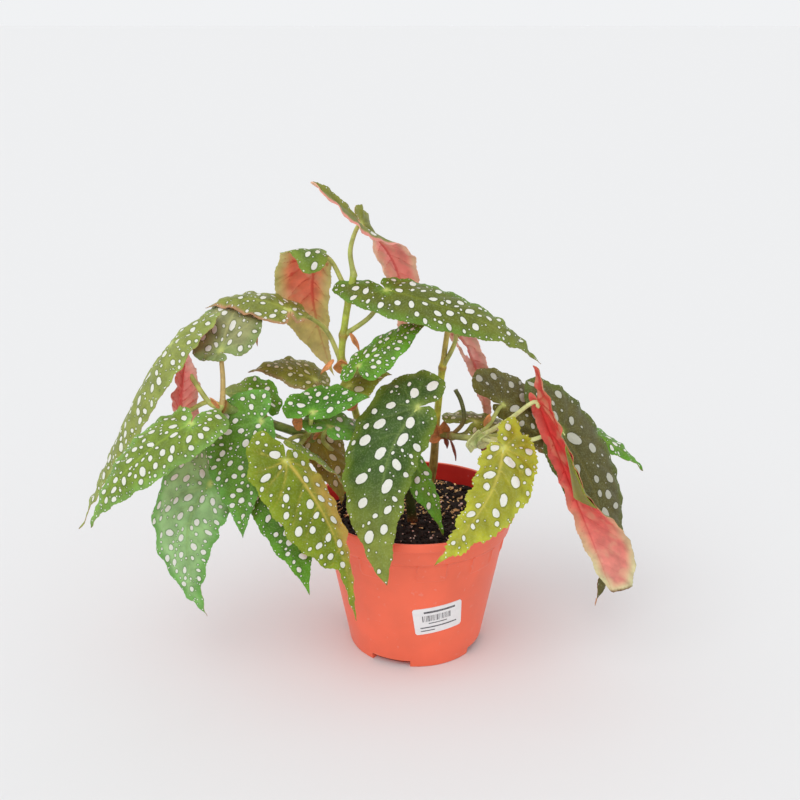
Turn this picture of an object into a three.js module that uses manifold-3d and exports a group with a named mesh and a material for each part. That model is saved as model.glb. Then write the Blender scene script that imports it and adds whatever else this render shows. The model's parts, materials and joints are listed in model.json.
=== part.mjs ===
// A potted polka dot begonia: a nursery pot with its soil, its canes and twenty-nine leaves.
// Millimetres, +Z up. The origin is the centre of the pot's flat underside, and the plant's
// best side faces -Y. A leaf is one solid: its blade with the petiole that carries it.
import * as THREE from "three";
import { mergeVertices } from "three/addons/utils/BufferGeometryUtils.js";
import Module from "manifold-3d";

const wasm = await Module();
wasm.setup();

// ---------- driving dimensions ----------

const POT = {
  height: 106,
  baseRadius: 47,
  topRadius: 67, // outer radius that the plain wall would reach at the top
  wall: 1.8,
  floor: 2.5,
  rimRadius: 70,
  rimHeight: 6,
  collarStep: 2.6, // how far the collar stands out from the plain wall
  collarBottom: 88,
  tabBottom: 74,
  tabs: 10,
  tabPhaseDeg: 9, // middle of the first tab, counted from the front towards +X
  feet: 4,
  footGapDeg: 35, // width of each drain notch between two feet
  footPhaseDeg: -22,
  footHeight: 5,
  segments: 60,
};

const SOIL = { top: 90, mound: 4, gap: 0.4 };

const LABEL = { width: 34, height: 22, thickness: 0.5, gap: 0.35, z: 42, turnDeg: 16, tiltDeg: -7 };

const BLADE = {
  thickness: 1.2,
  rows: 6, // along the midrib
  columns: 2, // from the midrib out to the margin
  fan: { wide: [5, 0.48], narrow: [3, 0.3] }, // rows round the petiole, and where they end
};

const NARROW_LOBE_SHARE = 0.45; // how far the narrow side reaches back, of the wide side's lobe

const PETIOLE = { radius: 1.5, sides: 5, step: 14, reach: 4 }; // reach: how far it runs on under the blade

const CLEARANCE = 0.35; // left between two pieces that touch

// ---------- small helpers ----------

const vec = (p) => new THREE.Vector3(...p);
const rad = (degrees) => (degrees * Math.PI) / 180;
const smooth = (points) => new THREE.CatmullRomCurve3(points.map(vec), false, "centripetal");

// A closed THREE geometry as a solid that can be joined and cut.
function toSolid(geometry) {
  const bare = geometry.index ? geometry.toNonIndexed() : geometry.clone();
  bare.deleteAttribute("normal");
  bare.deleteAttribute("uv");
  const merged = mergeVertices(bare, 1e-4);
  return new wasm.Manifold(
    new wasm.Mesh({
      numProp: 3,
      vertProperties: merged.attributes.position.array,
      triVerts: new Uint32Array(merged.index.array),
    }),
  );
}

function toGeometry(solid) {
  const mesh = solid.getMesh();
  const geometry = new THREE.BufferGeometry();
  geometry.setAttribute("position", new THREE.BufferAttribute(mesh.vertProperties, 3));
  geometry.setIndex(new THREE.BufferAttribute(mesh.triVerts, 1));
  return geometry;
}

// A solid turned about +Z: the profile lists [radius, height] points and closes on itself.
function lathe(profile, segments = POT.segments) {
  const points = profile.map(([r, z]) => new THREE.Vector2(r, z));
  const geometry = new THREE.LatheGeometry(points, segments);
  geometry.rotateX(Math.PI / 2);
  return geometry;
}

// A round rod along a smooth curve through the given points.
function rod(points, radius, { sides = PETIOLE.sides, step = PETIOLE.step } = {}) {
  const path = smooth(points);
  const section = new THREE.Shape();
  for (let i = 0; i < sides; i++) {
    const angle = (i / sides) * 2 * Math.PI;
    const [x, y] = [radius * Math.cos(angle), radius * Math.sin(angle)];
    if (i === 0) section.moveTo(x, y);
    else section.lineTo(x, y);
  }
  const steps = Math.max(3, Math.round(path.getLength() / step));
  return new THREE.ExtrudeGeometry(section, { steps, extrudePath: path, bevelEnabled: false });
}

// ---------- pot ----------

const wallRadius = (z) => POT.baseRadius + ((POT.topRadius - POT.baseRadius) * z) / POT.height;

// A sector of a ring wall between two heights, used for the tabs and the drain notches.
function sector(inner, outer, bottom, top, middleDeg, widthDeg, steps = 4) {
  const shape = new THREE.Shape();
  const angle = (i) => rad(middleDeg - widthDeg / 2 + (widthDeg * i) / steps - 90);
  for (let i = 0; i <= steps; i++) {
    const [x, y] = [outer * Math.cos(angle(i)), outer * Math.sin(angle(i))];
    if (i === 0) shape.moveTo(x, y);
    else shape.lineTo(x, y);
  }
  for (let i = steps; i >= 0; i--) {
    shape.lineTo(inner * Math.cos(angle(i)), inner * Math.sin(angle(i)));
  }
  const geometry = new THREE.ExtrudeGeometry(shape, { depth: top - bottom, bevelEnabled: false });
  geometry.translate(0, 0, bottom);
  return geometry;
}

function makePot() {
  const { height, wall, floor, rimRadius, rimHeight, collarStep, collarBottom } = POT;
  const shell = lathe([
    [0, 0],
    [POT.baseRadius, 0],
    [wallRadius(collarBottom), collarBottom],
    [wallRadius(collarBottom) + collarStep, collarBottom],
    [wallRadius(height - rimHeight) + collarStep, height - rimHeight],
    [rimRadius, height - rimHeight],
    [rimRadius, height],
    [rimRadius - 2.2, height],
    [wallRadius(height - rimHeight) + collarStep - wall, height - rimHeight],
    [wallRadius(collarBottom) + collarStep - wall, collarBottom + wall],
    [wallRadius(collarBottom) - wall, collarBottom - wall],
    [wallRadius(floor) - wall, floor],
    [0, floor],
  ]);
  let pot = toSolid(shell);
  const { tabs, tabPhaseDeg, tabBottom } = POT;
  const tabTop = collarBottom + 0.5;
  const ring = toSolid(
    lathe([
      [wallRadius(tabBottom) - 0.2, tabBottom],
      [wallRadius(tabBottom) + collarStep, tabBottom],
      [wallRadius(tabTop) + collarStep, tabTop],
      [wallRadius(tabTop) - 0.2, tabTop],
      [wallRadius(tabBottom) - 0.2, tabBottom],
    ]),
  );
  for (let i = 0; i < tabs; i++) {
    const middle = tabPhaseDeg + (360 / tabs) * i;
    const wedge = toSolid(sector(50, 80, tabBottom - 1, tabTop + 1, middle, 180 / tabs));
    pot = pot.add(ring.intersect(wedge));
  }
  for (let i = 0; i < POT.feet; i++) {
    const middle = POT.footPhaseDeg + (360 / POT.feet) * i;
    const notch = sector(POT.baseRadius - 5, POT.baseRadius + 5, -1, POT.footHeight, middle, POT.footGapDeg);
    pot = pot.subtract(toSolid(notch));
  }
  return pot;
}

// ---------- leaves ----------

// A blade's margin, flat: along the midrib as a fraction of its length, and out from it as a
// fraction of that side's width. A wing begonia's wide side has a big rounded lobe that reaches
// back past the petiole and a little across the midrib. The narrow side has almost none.
const MARGINS = {
  wide: [
    [0, 0], [-0.3, -0.2], [-0.72, -0.24], [-1, 0], [-0.98, 0.4], [-0.55, 0.78],
    [0.02, 1], [0.22, 1], [0.42, 0.9], [0.6, 0.67], [0.76, 0.36], [0.9, 0.12], [1, 0],
  ],
  narrow: [
    [0, 0], [-0.35, 0.3], [-0.3, 0.68], [0.06, 0.98], [0.24, 1], [0.44, 0.84],
    [0.63, 0.54], [0.79, 0.25], [0.91, 0.09], [1, 0],
  ],
};

// The same for a leaf whose tip is torn off short.
const TORN_MARGINS = {
  wide: [...MARGINS.wide.slice(0, 8), [0.45, 0.97], [0.65, 0.9], [0.84, 0.76], [0.97, 0.45], [1, 0]],
  narrow: [...MARGINS.narrow.slice(0, 5), [0.46, 0.95], [0.7, 0.8], [0.88, 0.56], [0.98, 0.2], [1, 0]],
};

// The same for a leaf whose tip is drawn out into a long narrow strip.
const STRIP_MARGINS = {
  wide: [...MARGINS.wide.slice(0, 8), [0.36, 0.97], [0.5, 0.82], [0.61, 0.52], [0.71, 0.18], [0.83, 0.11], [1, 0]],
  narrow: [...MARGINS.narrow.slice(0, 5), [0.42, 0.88], [0.58, 0.6], [0.7, 0.28], [0.82, 0.17], [1, 0]],
};

// The blade's shape in space. A leaf's entry holds:
//   base, tip    where the petiole meets the blade, and the end of the tip
//   bow          how far the midrib arches up out of the straight line between them
//   sweep        how far the midrib bends sideways, towards the leaf's own left
//                (both as mm, or as [mm, the share of the length where it is greatest])
//   turn         degrees the blade is rolled about that line, left side up
//   twist        [degrees more that it rolls, and the shares of the length where that
//                starts and ends]
//   wide         which side is the wide one, seen from above with the tip forward
//   widths       [wide side, narrow side]
//   lobe, droop  how far the wide side's lobe reaches back, and the degrees it bends down
//   cup, curl    degrees each side bends up at the midrib, and further by its margin,
//                as one number or as [wide side, narrow side]
//   open         the share of cup and curl that is left at the tip
const PLAIN = { bow: 6, sweep: 0, turn: 0, twist: [0, 0, 1], lobe: 28, droop: 20, cup: -6, curl: -24, open: 1 };

// An arch over 0 to 1 that is 1 at its crown, with its slope.
function arch(t, crown) {
  const reach = t < crown ? crown : 1 - crown;
  const d = (t - crown) / reach;
  return [1 - d * d, (-2 * d) / reach];
}

class Blade {
  constructor(leaf) {
    this.leaf = { ...PLAIN, ...leaf };
    this.chord = vec(this.leaf.tip).sub(vec(this.leaf.base));
    this.length = this.chord.length();
    const forward = this.chord.clone().normalize();
    this.up = new THREE.Vector3(0, 0, 1);
    this.up.addScaledVector(forward, -this.up.dot(forward)).normalize();
    this.up.applyAxisAngle(forward, rad(this.leaf.turn));
    this.left = this.up.clone().cross(forward);
  }

  // Middle line, its direction and the blade's own left and up, `along` mm past the petiole.
  frame(along) {
    const { base, bow, sweep, twist, lobe, droop } = this.leaf;
    const t = Math.max(0, along / this.length);
    const point = vec(base).addScaledVector(this.chord, t);
    const tangent = this.chord.clone();
    const bends = [[this.up, bow, 0.5], [this.left, sweep, 0.4]];
    for (const [direction, amount, usualCrown] of bends) {
      const [height, crown] = Array.isArray(amount) ? amount : [amount, usualCrown];
      const [rise, slope] = arch(t, crown);
      point.addScaledVector(direction, height * rise);
      tangent.addScaledVector(direction, height * slope);
    }
    tangent.normalize();
    const left = this.left.clone().addScaledVector(tangent, -this.left.dot(tangent)).normalize();
    const [roll, start, end] = twist;
    left.applyAxisAngle(tangent, rad(roll * THREE.MathUtils.smoothstep(t, start, end)));
    if (along < 0) {
      // Past the petiole the lobes bend down on an arc of a circle.
      const up = tangent.clone().cross(left);
      const bend = (rad(droop) || 1e-4) / lobe;
      const angle = -along * bend;
      point.addScaledVector(tangent, -Math.sin(angle) / bend);
      point.addScaledVector(up, (Math.cos(angle) - 1) / bend);
      tangent.applyAxisAngle(left, -angle);
    }
    return { point, tangent, left, up: tangent.clone().cross(left) };
  }

  // The point `along` the midrib and `across` it, in mm along the blade, left positive.
  point(along, across) {
    const { wide, widths, open } = this.leaf;
    const side = across > 0 === (wide === "left") ? 0 : 1;
    const t = Math.min(1, Math.max(0, along / this.length));
    const share = 1 + (open - 1) * t;
    const pick = (value) => rad(Array.isArray(value) ? value[side] : value) * share;
    const cup = pick(this.leaf.cup);
    const curl = pick(this.leaf.curl) || 1e-4;
    const q = Math.abs(across) / widths[side];
    // The side is an arc of a circle whose slope runs from cup at the midrib to cup + curl.
    const out = (Math.sin(cup + curl * q) - Math.sin(cup)) / curl;
    const rise = (Math.cos(cup) - Math.cos(cup + curl * q)) / curl;
    const { point, left, up } = this.frame(along);
    return point
      .addScaledVector(left, Math.sign(across) * out * widths[side])
      .addScaledVector(up, rise * widths[side]);
  }

  // Flat margin of one side, [along, across] in mm, at s = 0 by the petiole to 1 at the tip.
  margin(side, s) {
    const { wide, widths, lobe, margins = MARGINS } = this.leaf;
    const isWide = side === wide;
    const backReach = isWide ? lobe : lobe * NARROW_LOBE_SHARE;
    const points = margins[isWide ? "wide" : "narrow"].map(
      ([along, across]) => new THREE.Vector3(along * (along < 0 ? backReach : this.length), across, 0),
    );
    const p = new THREE.CatmullRomCurve3(points, false, "catmullrom", 0.5).getPoint(s);
    // Where the wide lobe crosses the midrib, the narrow side's width limits how far.
    const width = p.y < 0 ? Math.min(widths[0], 1.4 * widths[1]) : widths[isWide ? 0 : 1];
    return [p.x, (side === "left" ? 1 : -1) * p.y * width];
  }
}

// Rows of flat points across one side: first the fan round the petiole, then along the midrib.
function sideRows(blade, side) {
  const { fan, rows, columns } = BLADE;
  const [fanRows, fanEnd] = side === blade.leaf.wide ? fan.wide : fan.narrow;
  const stations = [];
  for (let i = 1; i < fanRows; i++) stations.push([(fanEnd * i) / fanRows, 0]);
  for (let i = 0; i <= rows; i++) {
    stations.push([fanEnd + ((1 - fanEnd) * i) / rows, blade.length * (i / rows) ** 1.25]);
  }
  return stations.map(([s, inner]) => {
    const [edgeAlong, edgeAcross] = blade.margin(side, s);
    const row = [];
    for (let j = 0; j <= columns; j++) {
      const q = j / columns;
      row.push([inner + (edgeAlong - inner) * q, edgeAcross * q]);
    }
    return row;
  });
}

// A thin closed shell over both sides of the blade, with a wall round its margin.
function bladeGeometry(blade) {
  const triangles = [];
  const face = (a, b, c) => {
    if (a.equals(b) || b.equals(c) || c.equals(a)) return;
    triangles.push(...a.toArray(), ...b.toArray(), ...c.toArray());
  };
  const sheets = ([along, across]) => {
    const nudge = 0.5;
    const ahead = blade.point(along + nudge, across).sub(blade.point(along - nudge, across));
    const aside = blade.point(along, across + nudge).sub(blade.point(along, across - nudge));
    const half = ahead.cross(aside).normalize().multiplyScalar(BLADE.thickness / 2);
    const middle = blade.point(along, across);
    return { top: middle.clone().add(half), low: middle.clone().sub(half) };
  };
  for (const side of ["left", "right"]) {
    const points = sideRows(blade, side).map((row) => row.map(sheets));
    const quad = (a, b, c, d) => {
      const [first, last] = side === "left" ? [b, d] : [d, b];
      face(a, first, c);
      face(a, c, last);
    };
    for (let i = 0; i + 1 < points.length; i++) {
      const [row, next] = [points[i], points[i + 1]];
      for (let j = 0; j < BLADE.columns; j++) {
        quad(row[j].top, next[j].top, next[j + 1].top, row[j + 1].top);
        quad(row[j].low, row[j + 1].low, next[j + 1].low, next[j].low);
      }
    }
    // From the petiole out along the first row, then along the margin to the tip.
    const edge = [...points[0], ...points.slice(1).map((row) => row.at(-1))];
    for (let i = 0; i + 1 < edge.length; i++) {
      quad(edge[i].top, edge[i + 1].top, edge[i + 1].low, edge[i].low);
    }
  }
  const geometry = new THREE.BufferGeometry();
  geometry.setAttribute("position", new THREE.Float32BufferAttribute(triangles, 3));
  return geometry;
}

// ---------- canes ----------

// Each cane's middle line, from below the soil to its end, its radius, and the swollen nodes
// on it as [x, y, z, radius]. Petioles and side shoots leave from these nodes.
const CANES = {
  main_cane: {
    radius: 3.4,
    path: [[-24, 30, 62], [-26, 26, 90], [-38, 14, 150], [-46, 5, 189], [-50, 2, 206], [-47, 0, 237], [-41, 0, 268]],
    nodes: [[-44, 8, 178, 4.4], [-50, 2, 206, 4.6], [-48, 1, 226, 4.4], [-45, 0, 252, 4.2]],
  },
  second_cane: {
    radius: 3.6,
    path: [[9, 36, 62], [9, 34, 90], [13, 26, 120], [15, 20, 158], [18, 12, 198], [21, 8, 226], [23, 6, 240]],
    nodes: [[15, 21, 147, 4.6], [18, 12, 200, 4.6]],
  },
  left_cane: {
    radius: 3.2,
    path: [[-30, 12, 62], [-33, 11, 90], [-46, 2, 132], [-74, -18, 161], [-102, -35, 179], [-124, -45, 192]],
    nodes: [[-48, 0, 135, 4.2], [-74, -18, 161, 4.6], [-98, -33, 177, 4.4], [-124, -45, 192, 5]],
  },
  front_cane: {
    radius: 3.6,
    path: [[-1, -8, 62], [-2, -8, 90], [-4, -12, 115], [-8, -15, 150], [-10, -16, 166]],
    nodes: [[-8, -15, 148, 4.6], [-10, -16, 164, 4.6]],
  },
  side_shoot: {
    radius: 2.3,
    path: [[15, 21, 147], [24, 8, 151], [34, -3, 154], [42, -9, 156]],
    nodes: [[25, 7, 151.5, 3.4], [42, -9, 156, 5.4]],
  },
  red_cane: {
    radius: 3,
    path: [[46, 10, 62], [49, 7, 90], [54, -2, 122], [52, -7, 140]],
    nodes: [[52, -7, 141, 3.8]],
  },
  dry_petiole: {
    radius: 1.6,
    path: [[25, 7, 151.5], [33, 3, 164], [31, 4, 178], [27, 5, 186]],
    nodes: [],
  },
};

// A cane with its nodes, `extra` mm fatter all over.
function caneSolid({ path, radius, nodes }, extra = 0) {
  let solid = toSolid(rod(path, radius + extra, { sides: 8, step: 18 }));
  const foot = path[0][2];
  if (extra === 0 && foot < SOIL.top) solid = solid.trimByPlane([0, 0, 1], foot + CLEARANCE);
  for (const [nodeX, nodeY, nodeZ, nodeRadius] of nodes) {
    const knob = new THREE.SphereGeometry(nodeRadius + extra, 8, 6);
    solid = solid.add(toSolid(knob.rotateX(Math.PI / 2).translate(nodeX, nodeY, nodeZ)));
  }
  return solid;
}

// ---------- the leaves ----------

// `petiole` lists the points from the cane's middle line up to the blade.
const LEAVES = {
  leaf_top: {
    petiole: [[-41, 0, 266], [-43, 0, 284], [-36, 0, 301]],
    base: [-36, 0, 301], tip: [-12, 45, 206],
    bow: 14, turn: 34, twist: [-52, -0.1, 0.35], wide: "right", widths: [18, 15], lobe: 50, droop: 0,
    cup: [-6, 60], open: 0,
  },
  leaf_upper_right: {
    petiole: [[-48, 1, 226], [-30, -5, 241], [-20, -10, 260]],
    base: [-20, -10, 260], tip: [82, -10, 209],
    bow: [15, 0.6], sweep: -3, turn: 30, wide: "right", widths: [19, 22], lobe: 35, droop: 20,
  },
  leaf_olive_right: {
    petiole: [[42, -9, 156], [51, -4, 166], [59, 0, 177]],
    base: [59, 0, 177], tip: [110, 5, 126],
    bow: 4, turn: 52, wide: "left", widths: [30, 9], lobe: 27, droop: 0, cup: [-6, -45],
  },
  leaf_dark_right: {
    petiole: [[42, -9, 156], [76, -6, 153], [100, 0, 158]],
    base: [100, 0, 158], tip: [127, -20, 33],
    bow: 8, sweep: [14, 0.6], turn: 20, wide: "left", widths: [35, 20], lobe: 40,
  },
  leaf_hanging_right: {
    petiole: [[42, -9, 156], [60, -19, 172], [79, -30, 191]],
    base: [79, -30, 191], tip: [133, -50, 60],
    bow: 0, turn: -48, twist: [-40, 0.4, 0.8], wide: "right", widths: [33, 9], lobe: 26, droop: 0,
    margins: TORN_MARGINS,
  },
  leaf_far_right: {
    petiole: [[42, -9, 156], [78, 18, 150], [115, 42, 145]],
    base: [115, 42, 145], tip: [169, 42, 110],
    bow: 5, turn: 20, wide: "left", widths: [16, 12], lobe: 16,
  },
  leaf_front_right: {
    petiole: [[42, -9, 156], [49, -28, 161], [56, -45, 164]],
    base: [56, -45, 164], tip: [11, -82, 98],
    bow: 6, sweep: 9, turn: -25, wide: "left", widths: [23, 14], lobe: 22,
  },
  leaf_front_centre: {
    petiole: [[-10, -16, 164], [-6, -28, 178], [1, -40, 190]],
    base: [1, -40, 190], tip: [-19, -88, 87],
    bow: 8, sweep: -12, turn: -12, wide: "right", widths: [32, 18], lobe: 26,
  },
  leaf_small_front: {
    petiole: [[-8, -15, 148], [-9, -22, 156], [-6, -28, 156]],
    base: [-6, -28, 156], tip: [18, -48, 102],
    bow: 4, turn: 15, wide: "left", widths: [9, 13], lobe: 8,
  },
  leaf_front_left: {
    petiole: [[-74, -18, 161], [-80, -46, 160], [-82, -69, 165]],
    base: [-82, -69, 165], tip: [-39, -92, 64],
    bow: 6, sweep: [6, 0.5], turn: 20, wide: "right", widths: [27, 15], lobe: 24,
    margins: STRIP_MARGINS,
  },
  leaf_narrow_left: {
    petiole: [[-74, -18, 161], [-80, -32, 166], [-84, -40, 167]],
    base: [-84, -40, 167], tip: [-47, -36, 131],
    bow: 4, turn: 0, wide: "left", widths: [12, 7], lobe: 14,
  },
  leaf_low_left: {
    petiole: [[-98, -33, 177], [-100, -44, 164], [-98, -50, 150]],
    base: [-98, -50, 150], tip: [-69, -82, 77],
    bow: 5, sweep: 2, turn: 30, wide: "right", widths: [20, 24], lobe: 20,
  },
  leaf_mid_left: {
    petiole: [[-98, -33, 177], [-98, -40, 181], [-99, -49, 184]],
    base: [-99, -49, 184], tip: [-112, -68, 110],
    bow: 6, turn: -35, wide: "right", widths: [34, 10], lobe: 20,
  },
  leaf_lower_left: {
    petiole: [[-98, -33, 177], [-104, -40, 172], [-118, -47, 159], [-133, -55, 143]],
    base: [-133, -55, 143], tip: [-138, -70, 54],
    bow: 5, sweep: -13, turn: 0, wide: "right", widths: [34, 21], lobe: 17,
  },
  leaf_side_left: {
    petiole: [[-124, -45, 192], [-132, -58, 187], [-140, -69, 190]],
    base: [-140, -69, 190], tip: [-206, -79, 123],
    bow: 12, turn: -35, wide: "left", widths: [20, 22], lobe: 24, droop: 50,
  },
  leaf_arching_left: {
    petiole: [[-124, -45, 192], [-131, -42, 192], [-142, -32, 202], [-153, -24, 218], [-159, -20, 227]],
    base: [-159, -20, 227], tip: [-223, -45, 105],
    bow: [5, 0.3], turn: 4, wide: "left", widths: [27, 17], lobe: 35, droop: 35,
  },
  leaf_high_left: {
    petiole: [[-124, -45, 192], [-124, -38, 208], [-126, -30, 224]],
    base: [-126, -30, 224], tip: [-112, 46, 205],
    bow: [30, 0.5], turn: 0, wide: "left", widths: [20, 21], lobe: 7, droop: 10, cup: 0, curl: -16,
  },
  leaf_back_left: {
    petiole: [[-50, 2, 206], [-62, 22, 224], [-76, 10, 238], [-83, -5, 245]],
    base: [-83, -5, 245], tip: [-141, 10, 242],
    bow: 8, turn: -15, wide: "right", widths: [20, 15], lobe: 12, cup: [-6, -35], curl: [-24, 30],
  },
  leaf_hanging_left: {
    petiole: [[-45, 0, 252], [-50, 10, 262], [-58, 16, 274], [-66, 20, 275]],
    base: [-66, 20, 275], tip: [-57, 28, 188],
    bow: 8, sweep: 8, turn: -45, wide: "left", widths: [26, 12], lobe: 32, droop: 160,
  },
  leaf_young_coral: {
    petiole: [[-124, -45, 192], [-135, -36, 192], [-150, -34, 184], [-153, -37, 185]],
    base: [-153, -37, 185], tip: [-147, -30, 229],
    bow: 0, turn: -140, wide: "left", widths: [13, 10], lobe: 6, cup: 40, curl: 10,
  },
  leaf_olive_left: {
    petiole: [[-44, 8, 178], [-58, 9, 182], [-68, 5, 193]],
    base: [-68, 5, 193], tip: [-115, 10, 197],
    bow: 6, turn: -20, wide: "right", widths: [24, 12], lobe: 12,
  },
  leaf_inner_left: {
    petiole: [[-98, -33, 177], [-100, -32, 184], [-99, -34, 190]],
    base: [-99, -34, 190], tip: [-128, -28, 196],
    bow: 4, turn: -35, wide: "right", widths: [22, 10], lobe: 12,
  },
  leaf_centre_upper: {
    petiole: [[-74, -18, 161], [-70, -32, 170], [-67, -42, 187]],
    base: [-67, -42, 187], tip: [-30, -35, 195],
    bow: 0, turn: 38, wide: "left", widths: [23, 6], lobe: 18, droop: -25,
  },
  leaf_centre_lower: {
    petiole: [[-48, 0, 135], [-62, -26, 162], [-57, -36, 175]],
    base: [-57, -36, 175], tip: [-27, -14, 158],
    bow: 4, turn: 30, wide: "left", widths: [22, 10], lobe: 16,
  },
  leaf_shadow_centre: {
    petiole: [[-48, 0, 135], [-62, -10, 152], [-68, -12, 163]],
    base: [-68, -12, 163], tip: [-50, -24, 113],
    bow: 5, turn: 20, wide: "left", widths: [18, 14], lobe: 10,
  },
  leaf_small_spotted: {
    petiole: [[-50, 2, 206], [-44, -14, 206], [-38, -26, 213]],
    base: [-38, -26, 213], tip: [13, -8, 242],
    bow: 3, turn: 25, wide: "left", widths: [13, 15], lobe: 14,
  },
  leaf_cream_spotted: {
    petiole: [[-44, 8, 178], [-49, -3, 184], [-45, -14, 195]],
    base: [-45, -14, 195], tip: [-16, -6, 201],
    bow: 4, turn: 20, wide: "left", widths: [15, 14], lobe: 8,
  },
  leaf_back_right: {
    petiole: [[18, 12, 200], [24, 8, 213], [27, 14, 219], [27, 20, 224]],
    base: [27, 20, 224], tip: [52, 30, 142],
    bow: 4, sweep: -6, turn: -60, wide: "right", widths: [9, 6], lobe: 8,
  },
  leaf_low_back_right: {
    petiole: [[24, 8, 151], [34, 9, 152], [41, 10, 161]],
    base: [41, 10, 161], tip: [96, 15, 132],
    bow: 5, turn: 20, wide: "left", widths: [14, 12], lobe: 17,
  },
};

// Dry papery stipules left at some of the nodes: small pointed scales.
const STIPULES = {
  stipule_main_high: { base: [-44, -4, 229], tip: [-38, -6, 217], widths: [4, 3.5] },
  stipule_main_low: { base: [-55, -2, 210], tip: [-64, -4, 200], widths: [5, 4] },
  stipule_centre: { base: [-78, -26, 168], tip: [-78, -35, 184], widths: [4, 3.5] },
  stipule_left: { base: [-126, -51, 193], tip: [-130, -56, 202], widths: [4, 3] },
};

// ---------- soil and label ----------

function makeSoil() {
  const { top, mound, gap } = SOIL;
  const bottom = POT.floor + gap;
  const inside = (z) => wallRadius(z) - POT.wall - gap;
  const shoulder = POT.collarBottom - POT.wall - 0.2;
  return toSolid(
    lathe([
      [0, bottom],
      [inside(bottom), bottom],
      [inside(shoulder), shoulder],
      [wallRadius(top), top],
      [wallRadius(top) * 0.7, top + mound * 0.6],
      [wallRadius(top) * 0.3, top + mound],
      [0, top + mound],
    ]),
  );
}

// The price label: a thin sheet bent round the pot's wall, a little crooked.
function makeLabel() {
  const { width, height, thickness, gap, z, turnDeg, tiltDeg } = LABEL;
  const sheet = new THREE.BoxGeometry(width, thickness, height, 8, 1, 2);
  sheet.rotateY(rad(tiltDeg));
  const at = sheet.getAttribute("position");
  for (let i = 0; i < at.count; i++) {
    const angle = rad(turnDeg) + at.getX(i) / wallRadius(z);
    const level = z + at.getZ(i);
    const radius = wallRadius(level) + gap + thickness / 2 - at.getY(i);
    at.setXYZ(i, radius * Math.sin(angle), -radius * Math.cos(angle), level);
  }
  return toSolid(sheet);
}

// ---------- assembly ----------

const finish = (color, roughness) => new THREE.MeshStandardMaterial({ color, roughness });
const GREEN = finish(0x5f8f3e, 0.5);
const CANE = finish(0x7a8a3a, 0.55);
const DRY = finish(0xa8642e, 0.8);
const PLASTIC = finish(0xe4593f, 0.5);
const EARTH = finish(0x1d1712, 0.95);
const PAPER = finish(0xf4f2ee, 0.6);

const plant = new THREE.Group();
plant.name = "polka_dot_begonia";
function addPiece(name, solid, material) {
  const mesh = new THREE.Mesh(toGeometry(solid), material);
  mesh.name = name;
  plant.add(mesh);
}

// Every piece keeps clear of the ones before it: what they take up is cut away from it.
const canes = Object.values(CANES);
const fatCanes = canes.map((cane) => caneSolid(cane, CLEARANCE));
const soil = fatCanes.reduce((solid, cane) => solid.subtract(cane), makeSoil());

addPiece("pot", makePot(), PLASTIC);
addPiece("soil", soil, EARTH);
addPiece("label", makeLabel(), PAPER);
Object.keys(CANES).forEach((name, i) => {
  const cut = fatCanes.slice(0, i).reduce((solid, cane) => solid.subtract(cane), caneSolid(canes[i]));
  addPiece(name, cut, name === "dry_petiole" ? DRY : CANE);
});
const fatPetioles = [];
for (const [name, leaf] of Object.entries(LEAVES)) {
  const blade = new Blade(leaf);
  const path = [...leaf.petiole, blade.point(PETIOLE.reach, 0).toArray()];
  const petiole = toSolid(rod(path, PETIOLE.radius));
  let solid = toSolid(bladeGeometry(blade)).add(petiole);
  for (const other of [...fatCanes, ...fatPetioles]) solid = solid.subtract(other);
  fatPetioles.push(toSolid(rod(path, PETIOLE.radius + CLEARANCE)));
  addPiece(name, solid, GREEN);
}
for (const [name, scale] of Object.entries(STIPULES)) {
  const blade = new Blade({ wide: "left", lobe: 1.5, bow: 1.5, ...scale });
  let solid = toSolid(bladeGeometry(blade));
  for (const other of [...fatCanes, ...fatPetioles]) solid = solid.subtract(other);
  addPiece(name, solid, DRY);
}

export default plant;
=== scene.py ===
import json
import math

import bmesh
import bpy
import numpy as np
from mathutils import Euler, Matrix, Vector, noise
from mathutils.geometry import delaunay_2d_cdt


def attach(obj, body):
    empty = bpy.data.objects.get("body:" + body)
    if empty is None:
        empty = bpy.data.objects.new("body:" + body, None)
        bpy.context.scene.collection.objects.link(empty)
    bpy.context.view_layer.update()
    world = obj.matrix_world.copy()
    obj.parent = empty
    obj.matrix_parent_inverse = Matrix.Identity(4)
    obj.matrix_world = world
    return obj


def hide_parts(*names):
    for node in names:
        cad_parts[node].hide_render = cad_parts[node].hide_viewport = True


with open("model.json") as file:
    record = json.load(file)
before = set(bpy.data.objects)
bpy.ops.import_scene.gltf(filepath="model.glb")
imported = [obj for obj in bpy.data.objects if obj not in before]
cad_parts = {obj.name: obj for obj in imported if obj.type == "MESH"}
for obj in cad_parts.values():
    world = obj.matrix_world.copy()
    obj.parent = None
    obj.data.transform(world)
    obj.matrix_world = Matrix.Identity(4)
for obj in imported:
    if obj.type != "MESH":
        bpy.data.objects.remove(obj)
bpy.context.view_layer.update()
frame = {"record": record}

# Every length below is in millimetres, in the part's own frame: +Z up, front towards -Y.
MM = 0.001

# ---------- curves and turns ----------


def unit(v):
    return v / np.linalg.norm(v, axis=-1, keepdims=True)


def dot(a, b):
    return np.sum(a * b, axis=-1, keepdims=True)


def turned(v, axis, angle):
    """v turned about the unit axis by the angle in radians."""
    c, s = np.cos(angle), np.sin(angle)
    return v * c + np.cross(axis, v) * s + axis * dot(axis, v) * (1 - c)


def smoothstep(x, low, high):
    t = np.clip((x - low) / (high - low), 0, 1)
    return t * t * (3 - 2 * t)


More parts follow.
